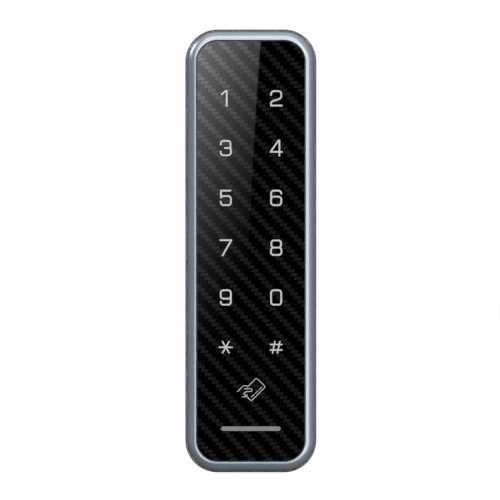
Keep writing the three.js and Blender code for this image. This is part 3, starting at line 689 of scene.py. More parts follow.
def key_shapes():
    """The outlines of each key's legend."""
    hook = [(SIDE, 1.2, 0), (SIDE, TOP, ROUND), (-SIDE, TOP, ROUND), (-SIDE, -1.2, 0)]
    foot = [(SIDE, -TOP, ROUND), (-SIDE, -TOP, ROUND), (-SIDE, -1.0, 0)]
    return {
        "1": [
            [(0.02, -2.8), (0.58, -2.8), (0.58, 2.8), (0.02, 2.8)],
            [(-1.72, 1.38), (-1.36, 0.96), (0.1, 2.27), (0.1, 2.8), (-0.1, 2.8)],
        ],
        "2": line(
            (-SIDE, 0.9, 0),
            (-SIDE, TOP, ROUND),
            (SIDE, TOP, ROUND),
            (SIDE, 0.05, 1.0),
            (-SIDE, -1.15, 0.8),
            (-SIDE, -TOP, 0),
            (2.07, -TOP, 0),
        ),
        "3": line((-SIDE, 1.0, 0), (-SIDE, TOP, ROUND), (1.6, TOP, ROUND), (1.6, 0.03, 0.6), (-0.5, 0.03, 0))
        + line((-0.5, 0.03, 0), (SIDE, 0.03, 0.6), *foot),
        "4": [
            [(0.79, -2.8), (1.35, -2.8), (1.35, 2.8), (0.79, 2.8)],
            [(-2.1, -1.54), (2.15, -1.54), (2.15, -1.0), (-2.1, -1.0)],
            [(-2.1, -1.05), (-1.66, -1.36), (0.95, 2.33), (0.95, 2.8), (0.62, 2.8)],
        ],
        "5": line((1.83, TOP, 0), (-1.6, TOP, 0), (-1.6, -0.1, 0))
        + line((-1.6, 0.1, 0), (-1.2, 0.62, 0.4), (SIDE, 0.62, ROUND), *foot),
        "6": line(*hook) + bowl(-TOP, 0.42),
        "7": [
            [(-2.07, 2.24), (2.0, 2.24), (2.07, 2.3), (2.07, 2.8), (-2.07, 2.8)],
            [(-0.87, -2.8), (2.07, 2.3), (1.43, 2.3), (-1.5, -2.8)],
        ],
        "8": bowl(0.03, TOP, 1.62, 0.85) + bowl(-TOP, 0.03, 1.75, 0.9),
        "9": line(*[(-x, -z, r) for x, z, r in hook]) + bowl(-0.42, TOP),
        "0": bowl(-TOP, TOP),
        "*": star(),
        "#": hash_sign(),
    }


def print_on_panel(name, polygons, place, material):
    """A thin print on the panel's front."""
    sunk = 0.01
    moved = [[(x + place[0], z + place[1]) for x, z in polygon] for polygon in polygons]
    piece = flat_union(name, moved, GLASS + sunk, GLASS - INK)
    return fit(piece, "reader", material)


def key_legends():
    names = {"*": "star", "#": "hash"}
    middle = 0.05
    material = printed_ink("legend_ink", srgb(177, 178, 179))
    shapes = key_shapes()
    for row, keys in enumerate(KEY_ROWS):
        for column, key in enumerate(keys):
            place = (middle + (column - 0.5) * KEY_PITCH_X, KEY_TOP - row * KEY_PITCH_Z)
            print_on_panel("legend_" + names.get(key, key), shapes[key], place, material)


def card_symbol():
    """A hand presenting a card: the card's outline, its stripe, and the hand's lines."""
    width = 0.21
    card = [(-2.52, -1.32, 0), (0.0, -3.84, 0.6), (4.84, 0.93, 0.6), (1.78, 3.9, 0.6), (-1.26, 0.8, 0)]
    back = [(-4.56, -0.72, 0), (-2.7, 1.26, 0.7), (-1.14, 1.26, 0)]
    thumb = [(-2.28, 0.3, 0), (0.3, 0.3, 0.47), (0.3, -0.66, 0.47), (-1.5, -0.66, 0.4), (-2.52, -1.32, 0)]
    finger = [(-3.0, -2.4, 0), (-1.92, -2.4, 0.25), (-1.26, -1.7, 0)]
    shapes = [polygon for path in (card, back, thumb, finger) for polygon in pen(filleted(path), width)]
    start, along = Vector((3.6, 0.82)), Vector((-1, -0.95)).normalized()
    dash, step = 1.2, 1.83  # the stripe is three dashes
    for index in range(3):
        first = start + along * index * step
        shapes += pen([tuple(first), tuple(first + along * dash)], width)
    print_on_panel("legend_card", shapes, CARD_PLACE, printed_ink("symbol_ink", srgb(186, 187, 188)))


def status_window():
    """A plain status-light window near the bottom of the panel."""
    width, height = 20.0, 1.5
    pill = rounded_rectangle(width, height, height / 2, 8)
    print_on_panel("status_window", [pill], STATUS_PLACE, printed_ink("window_ink", srgb(120, 121, 122)))


# ---------------------------------------------------------------------- back of the reader


def cover_screw_places():
    return [(sx * COVER_SCREW_X, sz * COVER_SCREW_Z) for sx in (-1, 1) for sz in (-1, 1)]


def hook_pockets():
    """The pockets that the bracket's hooks enter: their walls, and what is cut away."""
    room = 0.4  # beside a hook
    inner = FLOOR_FRONT - 2.4
    half, foot = 12.4, 62.8  # the walls' reach each way across, and their lowest point
    low, mouth, high = 64.0, 68.3, 71.3  # the pocket's foot, the top of its mouth, and its top
    walls = [block(-half, half, FLOOR_FRONT + JOIN, inner - 1.0, foot, HEIGHT / 2 - 2.0)]
    hollows = []
    for side in (-1, 1):
        x0 = side * HOOK_X - HOOK_WIDTH / 2 - room
        x1 = side * HOOK_X + HOOK_WIDTH / 2 + room
        hollows.append(block(x0, x1, FLOOR_FRONT, inner, low, high))
        hollows.append(block(x0, x1, FLOOR_BACK + PAST, FLOOR_FRONT - JOIN, low, mouth))
    return walls, hollows


def lock_pocket():
    """The well for the bracket's tab and the notches round the lock screw."""
    front, web_top, web_bottom = -8.4, -70.6, -72.2
    half, top, wall, bottom = 7.0, -62.0, 1.2, -HEIGHT / 2
    shank, head = 1.9, 3.4  # the notches' radii
    walls = [
        block(-half - wall, half + wall, FLOOR_FRONT + JOIN, front - wall, bottom + 2.0, top + wall),
        block(-9, 9, -1.0, front - wall, bottom + 0.8, web_top),
    ]
    hollows = [block(-half, half, FLOOR_BACK + PAST, front, web_top, top)]
    for radius, z0, z1 in ((shank, web_bottom - JOIN, web_top + PAST), (head, bottom - PAST, web_bottom)):
        hollows.append(prism("notch", circle(0, LOCK_Y, radius, 64), z0, z1, "Z"))
        hollows.append(block(-radius, radius, LOCK_Y, 1, z0, z1))
    return walls, hollows


def cover():
    """The moulded rear cover: a filleted dish with its groove, bosses, pockets and notches."""
    flat = 1.2  # how far from a wall the floor is capped
    screw_boss, head_well, head_depth = 3.2, 2.6, 1.8
    rest, rest_x, rest_z = 1.4, 16.8, 40.0  # the posts that the board rests on
    guide, guide_hole, guide_height = 3.2, 1.8, 1.2  # round the tamper pin
    cable_hole = 4.3
    groove_out, groove_in, groove_depth = 0.8, 1.8, 0.8
    section = filleted(
        [
            (RECESS_INSET + flat, FLOOR_BACK, 0),
            (RECESS_INSET, FLOOR_BACK, 0.5),
            (RECESS_INSET, SKIRT, 0.2),
            (0, SKIRT, 0.5),
            (0, SPLIT, 0.12),
            (CAVITY_INSET, SPLIT, 0.1),
            (CAVITY_INSET, FLOOR_FRONT, 0.8),
            (CAVITY_INSET + flat, FLOOR_FRONT, 0),
        ]
    )
    piece = swept("cover_shell", section, capped=True)
    hook_walls, hook_hollows = hook_pockets()
    lock_walls, lock_hollows = lock_pocket()
    added = hook_walls + lock_walls
    removed = hook_hollows + lock_hollows
    for x, z in cover_screw_places():
        added.append(bar(x, z, screw_boss, FLOOR_FRONT + JOIN, SPLIT))
        removed.append(bar(x, z, SCREW_HOLE, FLOOR_BACK + PAST, SPLIT - PAST))
        removed.append(bar(x, z, head_well, FLOOR_BACK + PAST, FLOOR_FRONT - head_depth))
    for x in (-rest_x, rest_x):
        for z in (-rest_z, rest_z):
            added.append(bar(x, z, rest, FLOOR_FRONT + JOIN, cover_low[1]))
    guide_front = FLOOR_FRONT - guide_height
    added.append(bar(*TAMPER, guide, FLOOR_FRONT + JOIN, guide_front))
    removed.append(bar(*TAMPER, guide_hole, FLOOR_BACK + PAST, guide_front - PAST))
    removed.append(bar(0, CABLE_Z, cable_hole, FLOOR_BACK + PAST, FLOOR_FRONT - PAST))
    bottom = SPLIT + groove_depth
    mouth = SPLIT - PAST
    groove = [(groove_out, mouth), (groove_out, bottom), (groove_in, bottom), (groove_in, mouth)]
    top = HEIGHT / 2
    relief = [(PAST, 64.5), (SKIRT, 66.0), (SKIRT - 1.45, top + PAST), (PAST, top + PAST)]
    combine(piece, added)
    cut(piece, removed + [swept("groove", groove), prism("relief", relief, -WIDTH, WIDTH, "X")])
    plastic = moulded("dark_grey_plastic", srgb(66, 68, 69), 0.52)
    return fit(piece, "reader", plastic, ["rear_cover"], crease=28)


def grommet():
    """The rubber bush round the cable hole, gripping the cover's floor between two flanges."""
    bore, neck, flange = 3.1, 4.2, 5.6
    gap, inner, outer = 0.1, 1.0, 1.1  # room beside the floor, and how far each end stands off it
    profile = filleted(
        [
            (bore, FLOOR_FRONT - inner, 0.2),
            (flange, FLOOR_FRONT - inner, 0.4),
            (flange, FLOOR_FRONT - gap, 0.15),
            (neck, FLOOR_FRONT - gap, 0.1),
            (neck, FLOOR_BACK + gap, 0.1),
            (flange, FLOOR_BACK + gap, 0.15),
            (flange, FLOOR_BACK + outer / 2, 0.25),
            (bore + 0.7, FLOOR_BACK + outer, 0.2),
            (bore, FLOOR_BACK + outer, 0.3),
        ],
        closed=True,
    )
    piece = turned("cable_bush", profile + profile[:1], centre=(0, CABLE_Z))
    return fit(piece, "reader", rubber(), ["cable_grommet"])


def seal():
    """The round-edged sealing ring in the cover's rim, pressed against the bezel."""
    back, front = SPLIT + 0.7, BEZEL_BACK - 0.02
    outer, inner = 0.9, 1.7
    corners = [(outer, front), (outer, back), (inner, back), (inner, front)]
    section = filleted([(*corner, 0.25) for corner in corners], closed=True, steps=4)
    return fit(swept("rim_seal", section), "reader", rubber(), ["rear_seal"])


# -------------------------------------------------------------------------------- fasteners


def thread_rows(radius, start, end, pitch, depth):
    """Rows of a profile along a thread, which fades in at its start."""
    count = max(2, round(abs(end - start) / pitch * 6))
    rows = []
    for index in range(count + 1):
        share = index / count
        rows.append((radius, start + (end - start) * share, depth * min(1.0, share * 12, (1 - share) * 12)))
    return rows


def cross_recess(x, z, arm, slit, mouth, bottom):
    corners = []
    for quarter in range(4):
        turn = Matrix.Rotation(quarter * math.pi / 2, 2)
        for corner in ((slit, -slit), (arm, -slit), (arm, slit)):
            corners.append(tuple(Vector((x, z)) + turn @ Vector(corner)))
    return prism("recess", corners, mouth, bottom, shrink=0.6)


def pan_screw(name, place, back, front, head, tip, shank, pitch):
    """A screw along Y with a domed head, a cross recess and a rolled thread."""
    x, z = place
    depth = pitch * 0.32
    core = shank - depth
    corners = [(0, back, 0), (head * 0.8, back, 0.5), (head, back - 0.45, 0.25), (head, front, 0.12)]
    rows = filleted(corners) + [(head - 0.12, front), (shank, front)]
    rows += thread_rows(shank, front - 0.15, tip + shank, pitch, depth)
    rows += [(core, tip + shank * 0.9), (core * 0.5, tip), (0, tip)]
    piece = turned(name, rows, centre=place, sides=40, pitch=pitch)
    deep = back - (back - front) * 0.65
    return cut(piece, [cross_recess(x, z, head * 0.58, head * 0.13, back + 0.3, deep)])


def reader_screws(material):
    """The screws that hold the cover, and those that hold the board."""
    kinds = {"cover": (1.6, 2.3, 1.25, 0.6), "board": (1.1, 1.8, 0.95, 0.4)}
    for index in range(1, 5):
        for kind, (deep, head, shank, pitch) in kinds.items():
            node = f"{kind}_screw_{index}"
            tip, back = depths(node)
            name = f"{kind}_pan_screw_{index}"
            piece = pan_screw(name, spot(node)[0], back, back - deep, head, tip, shank, pitch)
            fit(piece, "reader", material, [node])


def lock_screw(material):
    """The machine screw under the reader: a low head with a six-sided socket."""
    low, high = box_mm("lock_screw")
    bottom, top = low[2], high[2]
    head, shank, pitch, under = 2.7, 1.5, 0.5, bottom + 1.3
    thread_depth, key = 0.16, 1.15  # key: the socket's radius at its corners
    rows = filleted([(0, bottom, 0), (1.9, bottom, 0.2), (head, bottom + 0.6, 0.25), (head, under, 0.1)])
    rows += [(head - 0.1, under), (shank, under)]
    rows += thread_rows(shank, under + 0.1, top - 0.9, pitch, thread_depth)
    rows += [(1.3, top - 0.8), (0.9, top), (0, top)]
    piece = turned("lock_socket_screw", rows, "Z", (0, LOCK_Y), 48, pitch)
    cut(piece, [prism("socket", circle(0, LOCK_Y, key, 6), bottom - PAST, under - 0.2, "Z")])
    return fit(piece, "lock_screw", material, ["lock_screw"])


def washer(material):
    low, high = box_mm("lock_washer")
    outer, inner = (high[0] - low[0]) / 2, 1.7
    corners = [(inner, low[2]), (outer, low[2]), (outer, high[2]), (inner, high[2])]
    profile = filleted([(*corner, 0.1) for corner in corners], closed=True, steps=3)
    piece = turned("lock_flat_washer", profile + profile[:1], "Z", (0, LOCK_Y))
    return fit(piece, "lock_washer", material, ["lock_washer"])


# ---------------------------------------------------------------------------- tamper contact


def plunger():
    """The sprung pin, with a rounded flange and a domed tip."""
    low, high = plunger_low[1], plunger_high[1]
    flange_front, flange_back, flange, shaft = -7.6, -6.8, 2.6, 1.5
    profile = filleted(
        [
            (0, low, 0),
            (1.1, low, 0.2),
            (1.1, flange_front, 0.1),
            (flange, flange_front, 0.15),
            (flange, flange_back, 0.15),
            (shaft, flange_back, 0.1),
            (shaft, high - 0.7, 0.3),
            (1.15, high - 0.2, 0.25),
            (0.5, high, 0.3),
            (0, high, 0),
        ]
    )
    piece = turned("tamper_pin_moulding", profile, centre=TAMPER)
    white = moulded("white_moulding", (0.78, 0.78, 0.77), 0.4, depth=0.006)
    return fit(piece, "tamper_pin", white, ["tamper_plunger"])


def spring(material):
    """The coil between the switch and the pin's flange, with a closed turn at each end."""
    low, high = box_mm("tamper_spring")
    wire = 0.22
    coil = (high[0] - low[0]) / 2 - wire
    start, end = low[1] + wire, high[1] - wire
    turns, closed, sides, steps = 4.0, 0.75, 12, 128
    close_pitch = 2 * wire + 0.01
    open_pitch = (end - start - 2 * closed * close_pitch) / (turns - 2 * closed)
    rings = []
    for step in range(steps + 1):
        turn = turns * step / steps
        opened = min(max(turn - closed, 0), turns - 2 * closed)
        y = start + opened * open_pitch + (turn - opened) * close_pitch
        angle = 2 * math.pi * turn
        out = Vector((math.cos(angle), 0, math.sin(angle)))
        for side in range(sides):
            around = 2 * math.pi * side / sides
            offset = out * (coil + wire * math.cos(around)) + Vector((0, wire * math.sin(around), 0))
            rings.append((TAMPER[0] + offset.x, y + offset.y, TAMPER[1] + offset.z))
    faces = strip_faces(steps + 1, sides, closed_rings=False)
    faces += [tuple(range(sides)), tuple(range(len(rings) - sides, len(rings)))]
    piece = make_object("tamper_coil_spring", rings, faces)
    piece.data.transform(Matrix.Scale(MM, 4))
    piece.data.materials.append(material)
    smooth(piece)
    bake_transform(piece)
    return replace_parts(piece, "tamper_spring")


# ------------------------------------------------------------------------------ wall bracket


def bent_strip(corners, x0, x1, thickness, bend=0.9):
    """A strip of sheet bent round the corners of its middle line in the YZ plane."""
    middle = filleted([(y, z, bend) for y, z in corners], steps=8)
    rails = ribbon(middle, thickness)
    left = [quad[0] for quad in rails] + [rails[-1][3]]
    right = [quad[1] for quad in rails] + [rails[-1][2]]
    return prism("strip", left + right[::-1], x0, x1, "X")


def bracket(material):
    """The pressed-steel wall bracket: a slotted sheet, two hooks, and a tab for the lock screw."""
    sheet, corner = 1.2, 4.0
    top, shoulder, bottom, half = 68.0, -63.0, bracket_low[2], 16.0
    short, long = 4.5, 9.0  # the screw slots
    window_width, window_height, pin_hole = 17, 25, 3.2
    relief, relief_depth = 0.6, 2.4  # beside each hook, and below its fold
    fold = 6  # how far a bent strip runs along the sheet
    tab, tapping = 5.0, 1.8  # half the tab's width, and its hole's radius
    middle, hook_y = -sheet / 2, -5.0
    outline = rounded_rectangle(2 * half, top - shoulder, corner, 12, 0, (top + shoulder) / 2)
    piece = prism("pressed_bracket", outline, 0, -sheet)
    window = rounded_rectangle(window_width, window_height, 3, 12, 0, CABLE_Z)
    openings = [slot_outline(0, SLOT_Z, long, short), slot_outline(0, -SLOT_Z, short, long), window]
    cutters = [prism("opening", opening, PAST, -sheet - PAST) for opening in openings]
    cutters.append(bar(*TAMPER, pin_hole, PAST, -sheet - PAST))
    hooks = [side * HOOK_X - HOOK_WIDTH / 2 for side in (-1, 1)]
    for x0 in hooks:
        x1 = x0 + HOOK_WIDTH + relief
        cutters.append(block(x0 - relief, x1, PAST, -sheet - PAST, top - relief_depth, top + PAST))
    cut(piece, cutters)
    level = top - sheet / 2
    path = [(middle, top - fold), (middle, level), (hook_y, level), (hook_y, bracket_high[2])]
    strips = [bent_strip(path, x0, x0 + HOOK_WIDTH, sheet) for x0 in hooks]
    level = bottom + sheet / 2
    path = [(middle, shoulder + fold), (middle, level), (bracket_low[1], level)]
    strips.append(bent_strip(path, -tab, tab, sheet))
    combine(piece, strips)
    cut(piece, [prism("tapping", circle(0, LOCK_Y, tapping, 48), bottom - PAST, bottom + 2 * PAST, "Z")])
    soften(piece, 0.14, 50, 2)
    return fit(piece, "bracket", material, ["wall_bracket"], crease=40)


# ------------------------------------------------------------------------------- electronics

BOARD_FRONT, BOARD_BACK = box_mm("main_board")[0][1], box_mm("main_board")[1][1]


def spot(node):
    """The middle of a node and its size, as (x, z), (width, height)."""
    low, high = box_mm(node)
    return ((low[0] + high[0]) / 2, (low[2] + high[2]) / 2), (high[0] - low[0], high[2] - low[2])


def depths(node):
    """A node's planes nearest the front and nearest the wall."""
    low, high = box_mm(node)
    return low[1], high[1]


def standing(name, size, corner, section, place=(0.0, 0.0)):
    """A solid of stacked rounded rectangles; each row of the section is (inset, y)."""

    def outline(inset):
        inner = (size[0] - 2 * inset, size[1] - 2 * inset, max(corner - inset, 0.02))
        return rounded_rectangle(*inner, 5, *place)

    return swept(name, section, outline, capped=True)


def gathered(name, parts):
    """Separate solids kept together as one piece."""
    shape = bmesh.new()
    for part in parts:
        shape.from_mesh(part.data)
        bpy.data.objects.remove(part)
    mesh = bpy.data.meshes.new(name)
    shape.to_mesh(mesh)
    shape.free()
    made = bpy.data.objects.new(name, mesh)
    bpy.context.scene.collection.objects.link(made)
    return made


def board_screw_places():
    return [spot(f"board_screw_{index}")[0] for index in range(1, 5)]


def light_mask():
    """The white moulding whose wells keep each legend's light apart, opening towards the panel."""
    front, back = depths("light_mask")
    place, size = spot("light_mask")
    piece = prism("light_mask_moulding", rounded_rectangle(*size, 2.0, 6, *place), back, front)
    key_well, card_well, status_well = (12.0, 12.0, 2.0), (13.6, 9.6, 2.0), (21.6, 2.8, 1.0)
    hole = 1.1  # radius, for the board's screws
    wells = {f"key_lamp_{index}": key_well for index in range(1, 13)}
    wells |= {"card_lamp": card_well, "status_lamp": status_well}
    cutters = []
    for lamp_node, (width, height, corner) in wells.items():
        outline = rounded_rectangle(width, height, corner, 5, *spot(lamp_node)[0])
        cutters.append(prism("well", outline, back + PAST, front - PAST, shrink=1.04))
    for place in board_screw_places():
        cutters.append(bar(*place, hole, back + PAST, front - PAST, 32))
    cut(piece, cutters)
    soften(piece, 0.14, 50, 2)
    white = moulded("white_mask_plastic", (0.72, 0.73, 0.74), 0.55)
    return fit(piece, "reader", white, ["light_mask"])


def ridged(across, front, back, wire):
    """A closed (inset, y) section whose sides bulge once for each wire that shows."""
    sides = [
        ((0, back), (0, front), (1, 0)),
        ((0, front), (across, front), (0, 1)),
        ((across, front), (across, back), (-1, 0)),
        ((across, back), (0, back), (0, -1)),
    ]
    points = []
    for (inset, y), (to_inset, to_y), inward in sides:
        steps = 4 * round(math.hypot(to_inset - inset, to_y - y) / wire)
        for step in range(steps):
            share = step / steps
            sink = 0.25 * wire * (1 - math.sin(math.pi * (step % 4) / 4))
            across_now = inset + (to_inset - inset) * share + inward[0] * sink
            points.append((across_now, y + (to_y - y) * share + inward[1] * sink))
    return points


def antenna_coil():
    """The card antenna: turns of enamelled wire in a band that follows the board's edge."""
    front, back = depths("antenna_coil")
    _, (width, height) = spot("antenna_coil")

    def outline(inset):
        return rounded_rectangle(width - 2 * inset, height - 2 * inset, 3.0 - inset, 8)

    piece = swept("antenna_winding", ridged(1.3, front, back, 0.38), outline)
    return fit(piece, "reader", wound_copper(), ["antenna_coil"], crease=70)


def board(copper):
    """The circuit board, with a tinned ring round each screw hole on both faces."""
    place, size = spot("main_board")
    hole, ring_in, ring_out, thin = 1.15, 1.3, 2.2, 0.04
    piece = prism("board_laminate", rounded_rectangle(*size, 1.5, 6, *place), BOARD_BACK, BOARD_FRONT)
    screws = board_screw_places()
    cut(piece, [bar(x, z, hole, BOARD_BACK + PAST, BOARD_FRONT - PAST, 32) for x, z in screws])
    soften(piece, 0.08, 50, 1)
    fit(piece, "reader", solder_mask(), ["main_board"])
    rings = []
    for screw in screws:
        for y in (BOARD_BACK - thin / 2, BOARD_FRONT - thin / 2):
            corners = [(ring_in, y), (ring_out, y), (ring_out, y + thin), (ring_in, y + thin)]
            rings.append(turned("ring", corners + corners[:1], centre=screw, sides=32))
    return fit(gathered("board_rings", rings), "reader", copper)


def gull_leads(name, node, count, pitch, material):
    """Formed leads along the four sides of a square package."""
    (x, z), (across, _) = spot(node)
    front, back = depths(node)
    thick, width, half = 0.14, 0.3, across / 2
    foot, level = front + thick / 2, (front + back) / 2
    path = [(level, half - 0.4), (level, half + 0.3), (foot, half + 0.42), (foot, half + 0.95)]
    leads = []
    for quarter in range(4):
        turn = Matrix.Translation((x, 0, z)) @ Matrix.Rotation(quarter * math.pi / 2, 4, "Y")
        for index in range(count):
            middle = (index - (count - 1) / 2) * pitch
            lead = bent_strip(path, middle - width / 2, middle + width / 2, thick, 0.12)
            lead.data.transform(turn)
            leads.append(lead)
    return fit(gathered(name, leads), "reader", material)


def chip(node, count, pitch, black, tinned):
    """A moulded package with drafted sides and a pin-one dimple, on formed leads."""
    place, size = spot(node)
    front, back = depths(node)
    level = (front + back) / 2
    section = [(0.3, front + 0.06), (0.06, level - 0.05), (0.06, level + 0.05), (0.32, back)]
    piece = standing(node + "_package", size, 0.4, section, place)
    corner = (place[0] - size[0] / 2 + 1.2, place[1] + size[1] / 2 - 1.2)
    cut(piece, [bar(*corner, 0.4, back - 0.12, back + PAST, 24)])
    fit(piece, "reader", black, [node])
    gull_leads(node + "_leads", node, count, pitch, tinned)


def regulator(black, tinned):
    """A regulator with three legs on one side and a metal tab on the other."""
    (x, z), _ = spot("regulator")
    front, back = depths("regulator")
    package, tab_size, tab_thick = (6.5, 5.6), (5.2, 3.0), 0.45
    half, pitch, level, foot = 0.4, 2.3, front + 1.1, front + 0.2  # the legs
    section = [(0.25, front + 0.05), (0.0, front + 1.0), (0.0, front + 1.2), (0.3, back)]
    piece = standing("regulator_package", package, 0.3, section, (x, z))
    fit(piece, "reader", black, ["regulator"])
    tab = standing("tab", tab_size, 0.4, [(0, front), (0, front + tab_thick)], (x, z + 2.7))
    path = [(level, z - 2.5), (level, z - 3.1), (foot, z - 3.3), (foot, z - 4.2)]
    legs = [bent_strip(path, x + at - half, x + at + half, 0.3, 0.3) for at in (-pitch, 0.0, pitch)]
    fit(gathered("regulator_leads", [tab, *legs]), "reader", tinned)


def can_capacitor(node, bright, black):
    """An aluminium can with a pressed groove and a rounded top, on a moulded base."""
    place, size = spot(node)
    front, back = depths(node)
    foot, groove, can = front + 0.75, front + 2.05, size[0] / 2 - 0.2
    pressed, shelf = can - 0.28, 0.35
    corners = [
        (0, foot, 0),
        (can, foot, 0.1),
        (can, groove - shelf, 0.15),
        (pressed, groove - 0.1, 0.12),
        (pressed, groove + 0.1, 0.12),
        (can, groove + shelf, 0.15),
        (can, back, 0.4),
        (0, back, 0),
    ]
    piece = turned(node + "_can", filleted(corners), centre=place)
    fit(piece, "reader", bright, [node])
    base = standing(node + "_base", size, 1.1, [(0, front), (0, front + 0.6), (0.1, front + 0.7)], place)
    fit(base, "reader", black)


def sounder(black):
    """The piezo sounder: a drum with a stepped top and a sound hole."""
    place, (width, _) = spot("buzzer")
    front, back = depths("buzzer")
    step, hole, hole_foot = back - 0.25, 1.2, back - 1.2
    corners = [
        (0, front, 0),
        (width / 2, front, 0.2),
        (width / 2, back, 0.35),
        (4.4, back, 0.1),
        (4.2, step, 0.1),
        (hole + 0.3, step, 0.15),
        (hole, step - 0.15, 0.1),
        (hole, hole_foot, 0),
        (0, hole_foot, 0),
    ]
    piece = turned("sounder_drum", filleted(corners), centre=place)
    return fit(piece, "reader", black, ["buzzer"])


def crystal(bright):
    """A drawn crystal can with round ends, on its brim."""
    place, size = spot("crystal_can")
    front, back = depths("crystal_can")
    piece = standing("crystal_case", size, 2.25, [(0, front), (0, front + 0.4), (0.1, front + 0.5)], place)
    section = filleted([(0.45, front + 0.2, 0), (0.45, back, 0.45), (1.4, back, 0)])
    combine(piece, [standing("can", size, 2.25, section, place)])
    return fit(piece, "reader", bright, ["crystal_can"])


def inductor(grey):
    """A drum core on a square foot, wound with copper wire."""
    place, size = spot("inductor")
    front, back = depths("inductor")
    piece = standing("inductor_core", size, 0.4, [(0, front), (0, front + 0.7), (0.1, front + 0.8)], place)
    core, rim, rim_front = 2.2, 3.1, back - 0.9
    corners = [(0, front + 0.5, 0), (core, front + 0.5, 0), (core, rim_front, 0.1), (rim, rim_front, 0.12)]
    corners += [(rim, back, 0.15), (0, back, 0)]
    combine(piece, [turned("drum", filleted(corners), centre=place)])
    fit(piece, "reader", grey, ["inductor"])
    wire, turns, steps = 0.28, 5, 6
    inner, outer, start = core + 0.05, 2.6, front + 0.82
    rows = [(inner, start)]
    for step in range(turns * steps + 1):
        bulge = wire / 2 * math.sin(math.pi * (step % steps) / steps)
        rows.append((outer + bulge, start + wire * step / steps))
    rows += [(inner, rows[-1][1]), rows[0]]
    winding = turned("inductor_winding", rows, centre=place)
    return fit(winding, "reader", wound_copper())


def lamp(node, milky):
    """A surface-mounted lamp: a squared body with a low round lens."""
    place, size = spot(node)
    front, back = depths(node)
    step = back - 0.6
    section = [(0.08, back), (0, back - 0.08), (0, step + 0.06), (0.06, step)]
    piece = standing(node + "_body", size, 0.3, section, place)
    foot, shoulder = step + 0.1, step - 0.02
    lens = filleted([(0, foot, 0), (1.15, foot, 0), (1.15, shoulder, 0.1), (0.75, front, 0.3), (0, front, 0)])
    combine(piece, [turned("lens", lens, centre=place, sides=32)])
    return fit(piece, "reader", milky, [node])


def cable_header(ivory, tinned):
    """The installation cable's socket, open towards the wall, and its square pins."""
    (x, z), size = spot("cable_header")
    front, back = depths("cable_header")
    mouth_size, latch_half, latch_depth = (13.4, 4.4), 2.5, 1.2
    count, pitch, square, reach = 6, 2.0, 0.6, 4.6
    top = z + size[1] / 2
    housing = standing("cable_header_housing", size, 0.3, [(0, front), (0, back)], (x, z))
    mouth = standing("mouth", mouth_size, 0.2, [(0, front + 1.2), (0, back + PAST)], (x, z))
    latch = block(x - latch_half, x + latch_half, front + 2.4, back + PAST, top - latch_depth, top + PAST)
    cut(housing, [mouth, latch])
    soften(housing, 0.12, 50, 2)
    fit(housing, "reader", ivory, ["cable_header"])
    pins = []
    for index in range(count):
        outline = rounded_rectangle(square, square, 0.12, 2, x + (index - (count - 1) / 2) * pitch, z)
        pins.append(prism("pin", outline, front + 1.1, front + reach, shrink=0.75))
    return fit(gathered("cable_header_pins", pins), "reader", tinned)


def tail_connector(ivory, tinned):
    """The slim connector that takes the touch film's tail, and its row of contacts."""
    (x, z), size = spot("tail_connector")
    front, back = depths("tail_connector")
    slot_half, slot_depth = 4.8, 1.3
    count, pitch, half, thick = 15, 0.6, 0.13, 0.12
    top, bottom = z + size[1] / 2, z - size[1] / 2
    body = standing("tail_connector_body", size, 0.3, [(0, front), (0, back)], (x, z))
    slot = block(x - slot_half, x + slot_half, front + 0.4, front + 0.8, bottom - PAST, bottom + slot_depth)
    cut(body, [slot])
    soften(body, 0.1, 50, 2)
    fit(body, "reader", ivory, ["tail_connector"])
    contacts = []
    for index in range(count):
        middle = x + (index - (count - 1) / 2) * pitch
        contacts.append(block(middle - half, middle + half, front, front + thick, top - 0.3, top + 0.55))
    return fit(gathered("tail_connector_contacts", contacts), "reader", tinned)


def tamper_switch(black):
    """The switch's square case and its round button."""
    place, size = spot("tamper_switch")
    front, back = depths("tamper_switch")
    top = back - 0.4
    section = [(0.1, front), (0, front + 0.1), (0, top - 0.1), (0.1, top)]
    piece = standing("tamper_switch_case", size, 0.5, section, place)
    button = filleted([(0, top - 0.3, 0), (1.2, top - 0.3, 0), (1.2, back, 0.15), (0, back, 0)])
    combine(piece, [turned("button", button, centre=place, sides=40)])
    return fit(piece, "reader", black, ["tamper_switch"])


def paint(material, slot, *names):
    """Gives carried-over nodes a better material."""
    for name in names:
        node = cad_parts[name]
        node.data.materials.clear()
        node.data.materials.append(material)


def electronics():
    black = moulded("chip_epoxy", (0.018, 0.018, 0.02), 0.45, texture=0.1)
    bright = plated_steel("drawn_can", (0.74, 0.75, 0.76), (6, 1, 1), 0.22)
    ivory = moulded("ivory_nylon", (0.72, 0.67, 0.55), 0.42)
    ferrite = moulded("ferrite", (0.045, 0.045, 0.05), 0.6, texture=0.1)
    milky = milky_lens()
    light_mask()
    antenna_coil()
    board(bright)
    chip("microcontroller", 10, 0.9, black, bright)
    chip("card_reader_chip", 6, 0.85, black, bright)
    chip("touch_chip", 6, 0.85, black, bright)
    regulator(black, bright)
    can_capacitor("capacitor_1", bright, black)
    can_capacitor("capacitor_2", bright, black)
    sounder(black)
    crystal(bright)
    inductor(ferrite)
    for node in ["card_lamp", "status_lamp", *(f"key_lamp_{index}" for index in range(1, 13))]:
        lamp(node, milky)
    cable_header(ivory, bright)
    tail_connector(ivory, bright)
    tamper_switch(black)
    paint(amber_film(), "film_amber", "touch_film")
    paint(ferrite, "ferrite_grey", "ferrite_sheet")
    tape = moulded("foam_tape", (0.025, 0.025, 0.026), 0.75, texture=0.3, depth=0.03)
    paint(tape, "tape_black", "panel_adhesive")


# ------------------------------------------------------------------------ camera and lighting

